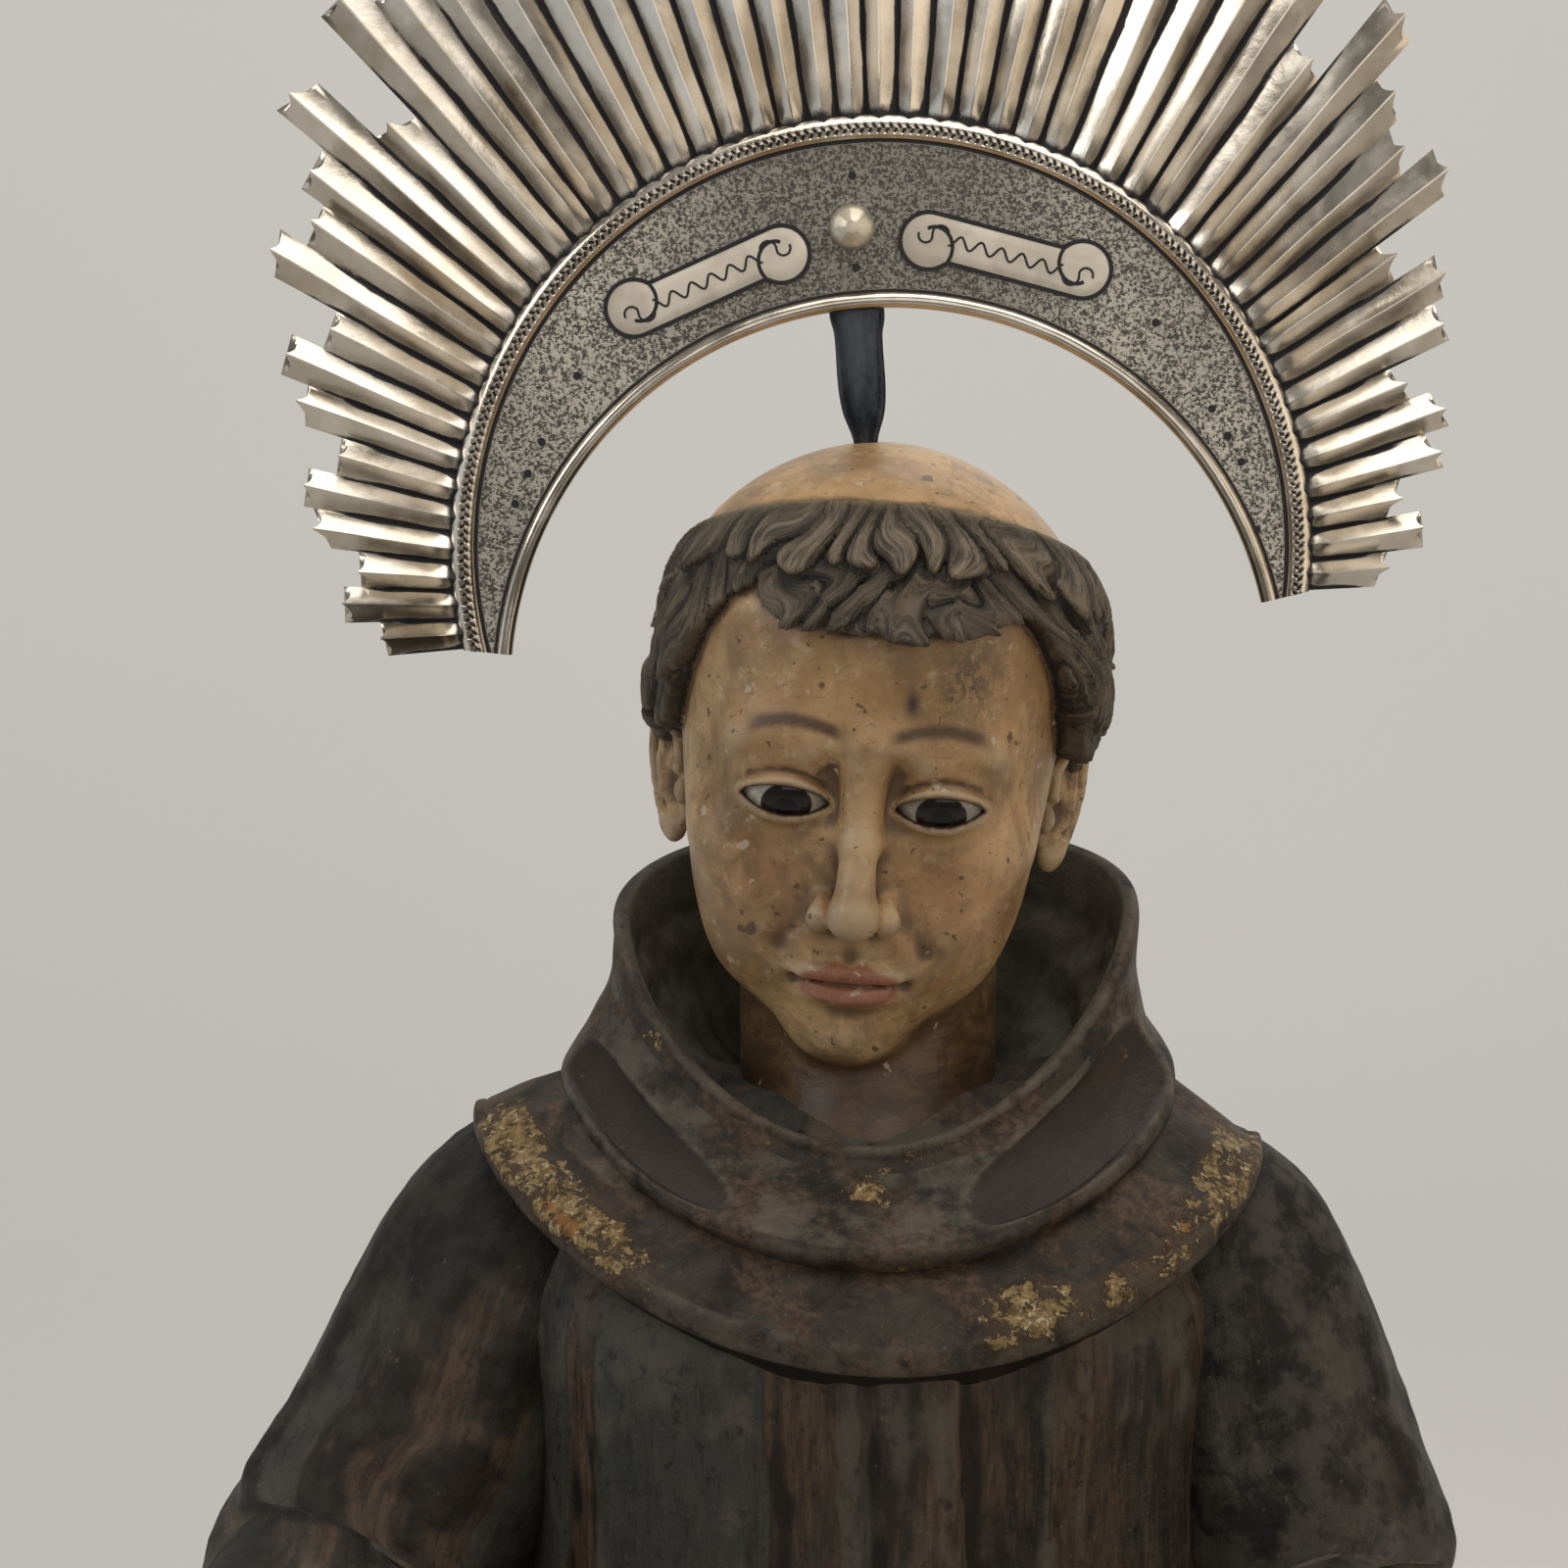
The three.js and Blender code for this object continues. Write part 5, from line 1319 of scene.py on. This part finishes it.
# Materials
class Paint:
    """Small builder for a material's nodes."""

    def __init__(self, name):
        self.material = bpy.data.materials.new(name)
        self.material.use_nodes = True
        self.tree = self.material.node_tree
        self.tree.nodes.clear()
        self.place = self.node("TexCoord").outputs["Object"]
        self.color = None

    def node(self, kind, inputs=None, **settings):
        made = self.tree.nodes.new("ShaderNode" + kind)
        for key, value in settings.items():
            setattr(made, key, value)
        for key, value in (inputs or {}).items():
            if isinstance(value, bpy.types.NodeSocket):
                self.tree.links.new(value, made.inputs[key])
            else:
                made.inputs[key].default_value = value
        return made

    def mark(self, name, vector=False):
        return self.node("Attribute", attribute_name=name).outputs["Vector" if vector else "Fac"]

    def noise(self, scale, detail=4.0, roughness=0.55, distortion=0.0, at=None, stretch=None):
        at = self.place if at is None else at
        if stretch:
            at = self.node("VectorMath", {0: at, 1: stretch}, operation="MULTIPLY").outputs[0]
        inputs = {"Vector": at, "Scale": scale, "Detail": detail, "Roughness": roughness}
        return self.node("TexNoise", {**inputs, "Distortion": distortion}).outputs["Fac"]

    def span(self, value, low, high, to_low=0.0, to_high=1.0):
        made = self.node("MapRange", {0: value, 1: low, 2: high, 3: to_low, 4: to_high}, clamp=True,
                         interpolation_type="SMOOTHSTEP")
        return made.outputs[0]

    def math(self, operation, a, b, clamped):
        return self.node("Math", {0: a, 1: b}, operation=operation, use_clamp=clamped).outputs[0]

    def add(self, a, b):
        return self.math("ADD", a, b, False)

    def times(self, a, b):
        return self.math("MULTIPLY", a, b, False)

    def both(self, a, b):
        return self.math("MULTIPLY", a, b, True)

    def most(self, a, b):
        return self.math("MAXIMUM", a, b, True)

    def mix(self, share, a, b):
        a, b = [(*c, 1) if isinstance(c, tuple) else c for c in (a, b)]
        return self.node("Mix", {0: share, 6: a, 7: b}, data_type="RGBA").outputs[2]

    def coat(self, share, color):
        """Lays one more coat over the colour so far."""
        self.color = self.mix(share, self.color, color)

    def blend(self, share, a, b):
        return self.node("Mix", {0: share, 2: a, 3: b}, data_type="FLOAT").outputs[0]

    def bump(self, height, strength, distance, normal=None):
        inputs = {"Height": height, "Strength": strength, "Distance": distance}
        if normal is not None:
            inputs["Normal"] = normal
        return self.node("Bump", inputs).outputs[0]

    def finish(self, **inputs):
        names = {key.replace("_", " "): value for key, value in inputs.items()}
        shader = self.node("BsdfPrincipled", {"Base Color": self.color, **names})
        out = self.node("OutputMaterial")
        self.tree.links.new(shader.outputs[0], out.inputs[0])
        return self.material


def habit_paint():
    m = Paint("habit_paint")
    flow = m.mark("flow", vector=True)
    normal = m.node("NewGeometry").outputs["Normal"]
    up = m.node("SeparateXYZ", {0: normal}).outputs[2]
    ridge, tint, scoop, inside = m.mark("ridge"), m.mark("tint"), m.mark("scoop"), m.mark("inside")
    streak = m.noise(70, 5, 0.6, 0.4, at=flow)
    mottle = m.noise(34, 6, 0.62, 0.3)
    fine = m.noise(240, 5, 0.7)
    grit = m.noise(700, 3, 0.7)
    grain = m.noise(330, 4, 0.7, 0.3, at=flow, stretch=(1.0, 1.0, 1.4))
    m.color = m.mix(m.span(streak, 0.36, 0.62), (0.015, 0.0118, 0.0093), (0.046, 0.0355, 0.0255))
    teal = m.add(m.noise(44, 4, 0.55, 0.3, at=flow), m.times(tint, -0.24))
    m.coat(m.span(teal, 0.53, 0.61, 0, 0.8), (0.047, 0.0475, 0.042))
    red = m.add(m.noise(36, 5, 0.6, 0.5, at=flow), m.times(tint, 0.17))
    rust = m.mix(m.span(grain, 0.35, 0.65), (0.044, 0.027, 0.018), (0.115, 0.069, 0.041))
    m.coat(m.span(red, 0.55, 0.64, 0, 0.8), rust)
    m.coat(m.span(mottle, 0.54, 0.74, 0, 0.36), (0.066, 0.058, 0.043))
    m.coat(m.span(grain, 0.53, 0.66, 0, 0.3), (0.090, 0.073, 0.052))
    m.coat(m.span(m.noise(640, 4, 0.7, at=flow, stretch=(1.0, 1.0, 1.2)), 0.47, 0.34, 0, 0.45),
           (0.012, 0.0095, 0.008))
    m.coat(m.span(fine, 0.46, 0.3, 0, 0.65), (0.013, 0.0105, 0.009))
    m.coat(m.span(grit, 0.58, 0.74, 0, 0.35), (0.12, 0.108, 0.085))
    dust = m.both(m.span(up, 0.1, 0.9), m.span(mottle, 0.3, 0.62, 0.2, 1))
    m.coat(m.both(dust, 0.06), (0.056, 0.047, 0.034))
    smooth_paint = m.mix(m.span(mottle, 0.3, 0.7), (0.020, 0.0140, 0.0105), (0.033, 0.0235, 0.0165))
    m.coat(m.both(scoop, 0.9), smooth_paint)
    pale_inside_patches = m.span(m.noise(90, 6, 0.7), 0.4, 0.62)
    edge = m.both(m.span(ridge, 0.12, 0.6), m.span(m.noise(60, 5, 0.7), 0.4, 0.58))
    m.coat(m.both(edge, 0.6), (0.105, 0.090, 0.068))
    # Painted shade: darker in the hollows of the carving, where the relief sinks below its surroundings.
    m.coat(m.span(ridge, -0.10, -0.6, 0, 0.85), (0.009, 0.0075, 0.0065))
    # Painted light: the grey-green inside of the hood and of the cuffs is painted much paler than the outside,
    # standing in for light that reaches into them.
    m.coat(m.both(inside, 0.9), m.mix(pale_inside_patches, (0.120, 0.112, 0.082), (0.165, 0.155, 0.115)))
    rubbed = m.both(m.mark("wear"), m.span(m.noise(70, 5, 0.7), 0.42, 0.6))
    m.coat(m.both(rubbed, 0.8), (0.17, 0.15, 0.115))
    flecks = m.span(m.noise(420, 2, 0.5), 0.72, 0.75, 0, 0.4)
    m.coat(flecks, (0.13, 0.12, 0.095))
    border = m.mark("border")
    under = m.both(m.span(border, 0.05, 0.6), m.span(mottle, 0.35, 0.6))
    m.coat(m.both(under, 0.65), (0.062, 0.038, 0.020))
    clump = m.noise(170, 7, 0.74, 0.5)
    flake = m.add(m.times(clump, 0.72), m.times(m.noise(58, 4, 0.6), 0.28))
    value = m.add(flake, m.times(border, 0.15))
    gold = m.both(m.span(value, 0.61, 0.632), m.span(border, 0.03, 0.12))
    rim_line = m.both(m.span(value, 0.575, 0.61), m.span(border, 0.03, 0.12))
    m.coat(m.both(rim_line, 0.6), (0.022, 0.014, 0.008))
    ochre = m.mix(m.span(m.noise(420, 4, 0.65), 0.36, 0.62), (0.095, 0.057, 0.022), (0.27, 0.185, 0.082))
    ochre = m.mix(m.span(m.noise(60, 3), 0.57, 0.66), ochre, (0.22, 0.095, 0.026))
    ochre = m.mix(m.span(m.noise(520, 3), 0.56, 0.66), ochre, (0.40, 0.32, 0.19))
    m.coat(gold, ochre)
    relief = m.times(mottle, 0.35)
    for layer, strength in ((fine, 0.3), (grit, 0.1), (grain, 0.25)):
        relief = m.add(relief, m.times(layer, strength))
    normal = m.bump(relief, 0.8, 0.0016)
    normal = m.bump(gold, 0.6, 0.0005, normal)
    rough = m.span(m.noise(60, 4, 0.6), 0.3, 0.7, 0.40, 0.60)
    rough = m.blend(dust, rough, 0.75)
    rough = m.blend(scoop, rough, 0.5)
    return m.finish(Roughness=rough, Normal=normal, Metallic=m.both(gold, 0.2),
                    Specular_IOR_Level=0.22)


def flesh_paint():
    m = Paint("flesh_paint")
    normal = m.node("NewGeometry").outputs["Normal"]
    up = m.node("SeparateXYZ", {0: normal}).outputs[2]
    hair, ridge = m.mark("hair"), m.mark("ridge")
    mottle = m.noise(42, 6, 0.6, 0.3)
    fine = m.noise(190, 6, 0.7)
    strands = m.noise(210, 6, 0.7)
    m.color = m.mix(m.span(m.noise(60, 5, 0.6), 0.35, 0.65), (0.040, 0.029, 0.018), (0.105, 0.075, 0.045))
    dust = m.mark("dust")
    dusty = m.both(dust, m.span(strands, 0.36, 0.58, 0.15, 1))
    m.coat(m.both(dusty, 0.8), (0.22, 0.172, 0.112))
    # Paler on up-facing hair: dust settled there, and painted light from above.
    dust_and_skylight = m.both(m.span(up, 0.3, 0.95), m.span(strands, 0.36, 0.6, 0.2, 1))
    m.coat(m.both(dust_and_skylight, 0.35), (0.14, 0.110, 0.076))
    # Painted highlight on the proud ridges of the locks, mixed with dust where the locks are dusty.
    proud = m.both(m.span(ridge, 0.15, 1.2), m.blend(dust, 0.18, 0.75))
    m.coat(proud, (0.26, 0.205, 0.140))
    comb = m.noise(900, 3, 0.6, 0.3, at=m.mark("flow", vector=True))
    m.coat(m.both(m.span(comb, 0.52, 0.64), m.blend(dust, 0.35, 0.7)), (0.19, 0.148, 0.100))
    m.coat(m.span(comb, 0.5, 0.38, 0, 0.7), (0.024, 0.0175, 0.012))
    # Painted shade: near black in the hollows between the locks.
    m.coat(m.span(ridge, -0.05, -0.7, 0, 0.9), (0.015, 0.0112, 0.0082))
    m.coat(m.span(m.noise(400, 3, 0.6), 0.66, 0.72, 0, 0.5), (0.21, 0.17, 0.12))
    m.coat(m.both(m.mark("crown"), m.span(strands, 0.4, 0.55, 0.2, 0.9)), (0.26, 0.19, 0.085))
    hair_color = m.color
    m.color = m.mix(m.span(mottle, 0.34, 0.64), (0.255, 0.143, 0.058), (0.52, 0.330, 0.158))
    m.coat(m.span(m.noise(22, 4, 0.5), 0.48, 0.64, 0, 0.5), (0.34, 0.195, 0.080))
    m.coat(m.span(fine, 0.53, 0.70, 0, 0.55), (0.58, 0.42, 0.250))
    m.coat(m.span(m.noise(300, 5, 0.75, 0.5, stretch=(1.0, 1.0, 1.5)), 0.45, 0.33, 0, 0.6),
           (0.17, 0.105, 0.048))
    m.coat(m.both(m.mark("blush"), 0.35), (0.40, 0.19, 0.10))
    drips = m.noise(85, 5, 0.65, 0.4, stretch=(1.0, 1.0, 0.35))
    m.coat(m.span(drips, 0.52, 0.66, 0, 0.6), (0.20, 0.118, 0.052))
    # Painted highlight on the proud parts of the face.
    m.coat(m.span(ridge, 0.12, 0.9, 0, 0.5), (0.55, 0.42, 0.275))
    blot = m.noise(70, 7, 0.72, 0.8)
    # Blots of dirt, which beside the nose wings also paint shade.
    soil_and_shade = m.both(m.mark("soil_and_shade"), m.span(blot, 0.42, 0.62))
    m.coat(m.both(soil_and_shade, 0.9), (0.115, 0.062, 0.027))
    # Neck stain, laid on dark enough to paint the shade under the chin as well.
    neck_stain_and_shade = m.mark("neck_stain_and_shade")
    smear = m.both(neck_stain_and_shade, m.span(m.noise(75, 6, 0.7, 0.9, stretch=(1.0, 1.0, 2.2)), 0.42, 0.6))
    m.coat(m.both(neck_stain_and_shade, 0.9), (0.074, 0.038, 0.015))
    m.coat(m.both(smear, 0.85), (0.055, 0.030, 0.015))
    worn = m.both(m.mark("worn"), m.span(m.noise(260, 6, 0.75, 1.0), 0.47, 0.53))
    m.coat(m.both(worn, 0.8), (0.075, 0.048, 0.026))
    lips = m.mark("lips")
    m.coat(m.both(lips, 0.85), m.mix(m.span(fine, 0.35, 0.7), (0.23, 0.072, 0.042), (0.36, 0.135, 0.080)))
    # Painted shade in the hollows of the face.
    m.coat(m.span(ridge, -0.10, -0.8, 0, 0.85), (0.080, 0.043, 0.020))
    specks = m.span(m.noise(330, 2, 0.5), 0.69, 0.72)
    spots = m.span(m.noise(120, 2, 0.4), 0.735, 0.755)
    m.coat(m.both(m.most(specks, spots), 0.8), (0.085, 0.048, 0.025))
    scuffs = m.span(m.noise(95, 6, 0.75, 1.2, stretch=(1.0, 1.0, 1.6)), 0.62, 0.68, 0, 0.5)
    m.coat(scuffs, (0.15, 0.092, 0.046))
    pale = m.span(m.noise(145, 4, 0.6, stretch=(1.0, 1.0, 1.2)), 0.65, 0.70, 0, 0.55)
    m.coat(pale, (0.60, 0.50, 0.36))
    line = m.mark("line")
    m.coat(line, m.mix(line, (0.15, 0.068, 0.024), (0.045, 0.021, 0.009)))
    m.coat(m.mark("chip"), (0.03, 0.026, 0.022))
    m.coat(hair, hair_color)
    relief = m.add(m.times(fine, 0.5), m.times(mottle, 0.5))
    normal = m.bump(relief, 0.6, 0.0012)
    normal = m.bump(m.both(m.noise(420, 4, 0.7), hair), 0.5, 0.0007, normal)
    normal = m.bump(m.both(comb, hair), 0.8, 0.0014, normal)
    rough = m.blend(hair, m.span(mottle, 0.3, 0.7, 0.32, 0.48), 0.6)
    rough = m.blend(lips, rough, 0.33)
    return m.finish(Roughness=rough, Normal=normal, Specular_IOR_Level=0.46)


def silver():
    m = Paint("silver")
    tarnish, stipple, dull = m.mark("tarnish"), m.mark("stipple"), m.mark("dull")
    cloud = m.noise(45, 5, 0.6, 0.4)
    clean = m.mix(m.span(cloud, 0.35, 0.65), (0.57, 0.505, 0.415), (0.77, 0.705, 0.61))
    film = m.span(m.noise(24, 5, 0.65), 0.46, 0.66, 0, 0.45)
    clean = m.mix(film, clean, (0.34, 0.275, 0.19))
    plate = m.mix(m.span(cloud, 0.4, 0.6), (0.68, 0.60, 0.49), (0.84, 0.76, 0.63))
    clean = m.mix(m.both(dull, 0.85), clean, plate)
    small, large = [m.noise(scale, 2, rough, swirl, stretch=(1.0, 0.3, 1.0))
                    for scale, rough, swirl in ((1250, 0.55, 0.4), (500, 0.5, 0.6))]
    grain = m.add(m.times(small, 0.8), m.times(large, 0.2))
    knob = m.span(grain, 0.40, 0.58)
    punched = m.mix(knob, (0.10, 0.094, 0.084), (0.74, 0.68, 0.58))
    shade = m.span(m.noise(11, 2, 0.5), 0.40, 0.62, 0, 0.35)
    across = m.node("SeparateXYZ", {0: m.place}).outputs[0]
    across = m.node("Math", {0: across}, operation="ABSOLUTE").outputs[0]
    shade = m.most(shade, m.span(across, 0.085, 0.02, 0, 0.62))
    punched = m.mix(shade, punched, (0.10, 0.094, 0.084))
    m.color = m.mix(stipple, clean, punched)
    edge = m.noise(130, 5, 0.7)
    patina = m.span(m.add(tarnish, m.times(m.add(edge, -0.5), 0.8)), 0.4, 0.75)
    m.coat(patina, (0.022, 0.020, 0.022))
    rough = m.blend(patina, m.span(cloud, 0.3, 0.7, 0.15, 0.29), 0.5)
    rough = m.blend(m.most(stipple, dull), rough, 0.45)
    metal = m.blend(m.most(patina, m.times(m.most(stipple, dull), 0.35)), 1.0, 0.3)
    normal = m.bump(m.both(knob, stipple), 0.7, 0.0004)
    normal = m.bump(m.noise(160, 4, 0.6), 0.12, 0.0006, normal)
    return m.finish(Roughness=rough, Metallic=metal, Normal=normal)


def gilt_silver():
    m = Paint("gilt_silver")
    cloud = m.noise(160, 4, 0.6)
    m.color = m.mix(m.span(cloud, 0.35, 0.65), (0.50, 0.44, 0.33), (0.72, 0.66, 0.53))
    return m.finish(Roughness=m.span(cloud, 0.3, 0.7, 0.34, 0.46), Metallic=0.8,
                    Normal=m.bump(cloud, 0.15, 0.0005))


def iron():
    m = Paint("iron")
    height = m.node("SeparateXYZ", {0: m.place}).outputs[2]
    cloud = m.noise(120, 5, 0.65, stretch=(1.0, 1.0, 0.4))
    m.color = m.mix(m.span(cloud, 0.35, 0.65), (0.020, 0.023, 0.030), (0.080, 0.086, 0.095))
    rust = m.both(m.span(height, 1.108, 1.12), m.span(cloud, 0.4, 0.6, 0.3, 1))
    m.coat(rust, (0.045, 0.024, 0.014))
    return m.finish(Roughness=m.span(cloud, 0.3, 0.7, 0.2, 0.4), Metallic=0.85,
                    Normal=m.bump(cloud, 0.3, 0.0008))


def eye_glass():
    m = Paint("eye_glass")
    off = m.mark("off")
    white = m.mix(m.span(m.noise(160, 4, 0.6), 0.35, 0.65), (0.30, 0.26, 0.20), (0.50, 0.46, 0.38))
    m.color = m.mix(m.span(off, 30, 33), (0.016, 0.0125, 0.011), white)
    m.color = m.mix(m.span(off, 12, 14), (0.003, 0.003, 0.003), m.color)
    return m.finish(Roughness=0.07, Specular_IOR_Level=0.32)


def dark_wood():
    m = Paint("dark_wood")
    grain = m.noise(90, 6, 0.65, 0.5, stretch=(0.12, 1.0, 1.0))
    cloud = m.noise(24, 5, 0.6)
    m.color = m.mix(m.span(grain, 0.35, 0.65), (0.030, 0.019, 0.013), (0.075, 0.046, 0.030))
    m.coat(m.span(cloud, 0.52, 0.7, 0, 0.6), (0.085, 0.075, 0.06))
    return m.finish(Roughness=m.span(cloud, 0.3, 0.7, 0.4, 0.6), Normal=m.bump(grain, 0.25, 0.001),
                    Specular_IOR_Level=0.4)


def dress(piece, material, slot, *nodes):
    piece.data.materials.clear()
    piece.data.materials.append(material)
    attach(piece, "root")
    if nodes:
        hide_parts(*nodes)


HABIT, FLESH, SILVER, GILT, IRON = habit_paint(), flesh_paint(), silver(), gilt_silver(), iron()
GLASS, WOOD = eye_glass(), dark_wood()

for part in (robe(), cape(), hood(), sleeve("right"), sleeve("left"), girdle(), girdle_end()):
    dress(part, HABIT, "habit", "habit")
for part in (foot(-1), foot(1)):
    dress(part, FLESH, "habit", "habit")
dress(head(), FLESH, "flesh", "head")
for part, node in eyes():
    dress(part, GLASS, "glass_eye", node)
for side in ("right", "left"):
    dress(hand(side), FLESH, "flesh", side + "_hand")
dress(halo(), SILVER, "silver", "halo")
dress(boss(), GILT, "silver", "halo_boss")
dress(tang(), IRON, "iron", "halo_tang")

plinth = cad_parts["plinth"]
bevel = plinth.modifiers.new("worn_edges", "BEVEL")
bevel.width = 0.0012
bevel.segments = 3
bevel.limit_method = "ANGLE"
plinth.data.materials.clear()
plinth.data.materials.append(WOOD)


def backdrop():
    """Pale studio paper, a floor that curves up behind the statue."""
    m = Paint("studio_paper")
    m.color = m.mix(m.span(m.noise(0.3, 2, 0.5), 0.3, 0.7), (0.59, 0.575, 0.545), (0.62, 0.60, 0.567))
    material = m.finish(Roughness=0.9, Specular_IOR_Level=0.1)
    radius, depth, height, half = 4.0, 7.1, 12.0, 14.0
    bend = np.linspace(0, math.pi / 2, 24)
    profile = [(-half, 0.0), *zip(depth - radius + radius * np.sin(bend), radius - radius * np.cos(bend))]
    profile.append((depth, height))
    points = np.array([[x, y, z] for y, z in profile for x in (-half, half)]) * 1000
    k = np.arange(len(profile) - 1) * 2
    made = mesh_object("studio_floor", points, [np.stack([k, k + 1, k + 3, k + 2], -1)])
    made.data.materials.append(material)


# Lights: name, place, target, size, power and colour
LIGHTS = [
    ("window", (-1.7, -1.0, 2.1), (0, 0, 1.05), (0.9, 0.9), 9.5, (1.0, 0.98, 0.95)),
    ("ceiling", (0.3, -0.5, 2.5), (0.05, 0, 1.1), (1.6, 1.1), 13, (1.0, 0.98, 0.94)),
    ("left_wall", (-2.3, -0.5, 0.95), (0, 0, 1.05), (2.0, 1.8), 6, (0.74, 0.86, 1.0)),
    ("right_wall", (2.1, -1.1, 1.25), (0, 0, 1.05), (2.0, 2.0), 12.5, (1.0, 0.86, 0.69)),
    ("front", (0.5, -3.0, 1.7), (0, 0, 1.0), (2.2, 1.5), 10.5, (1.0, 0.97, 0.93)),
    ("behind", (0.9, 2.8, 2.0), (0, 0, 0.8), (2.0, 2.0), 7, (1.0, 0.97, 0.93)),
    ("back", (0.4, 3.4, 6.6), (0, 7.1, 0.6), (9.0, 1.2), 330, (1.0, 0.995, 0.985)),
]


def area_light(name, place, target, size, power, color):
    data = bpy.data.lights.new(name, "AREA")
    data.shape = "RECTANGLE"
    data.size, data.size_y = size
    data.energy = power
    data.color = color
    made = bpy.data.objects.new(name, data)
    bpy.context.scene.collection.objects.link(made)
    made.location = place
    made.rotation_euler = (Vector(target) - Vector(place)).to_track_quat("-Z", "Y").to_euler()
    made.visible_camera = False


backdrop()
for light in LIGHTS:
    area_light(*light)
world = bpy.data.worlds.new("studio")
world.use_nodes = True
world.node_tree.nodes["Background"].inputs[0].default_value = (0.80, 0.80, 0.79, 1)
world.node_tree.nodes["Background"].inputs[1].default_value = 0.25
bpy.context.scene.world = world

CAMERA_TARGET = Vector((CAMERA_X * 0.001, 0, CAMERA_Z * 0.001))
CAMERA_DISTANCE, CAMERA_DROP = 1.3, math.radians(6)
camera = bpy.data.objects.new("camera", bpy.data.cameras.new("camera"))
bpy.context.scene.collection.objects.link(camera)
camera.data.sensor_width = 36
camera.data.lens = FOCAL_PIXELS * camera.data.sensor_width / PHOTO_WIDTH
BACKWARD = Vector((0, -math.cos(CAMERA_DROP), math.sin(CAMERA_DROP)))
camera.location = CAMERA_TARGET + CAMERA_DISTANCE * BACKWARD
camera.rotation_euler = (math.pi / 2 - CAMERA_DROP, 0, 0)
camera.data.clip_start, camera.data.clip_end = 0.05, 30
bpy.context.scene.camera = camera
bpy.context.scene.view_settings.view_transform = "Standard"
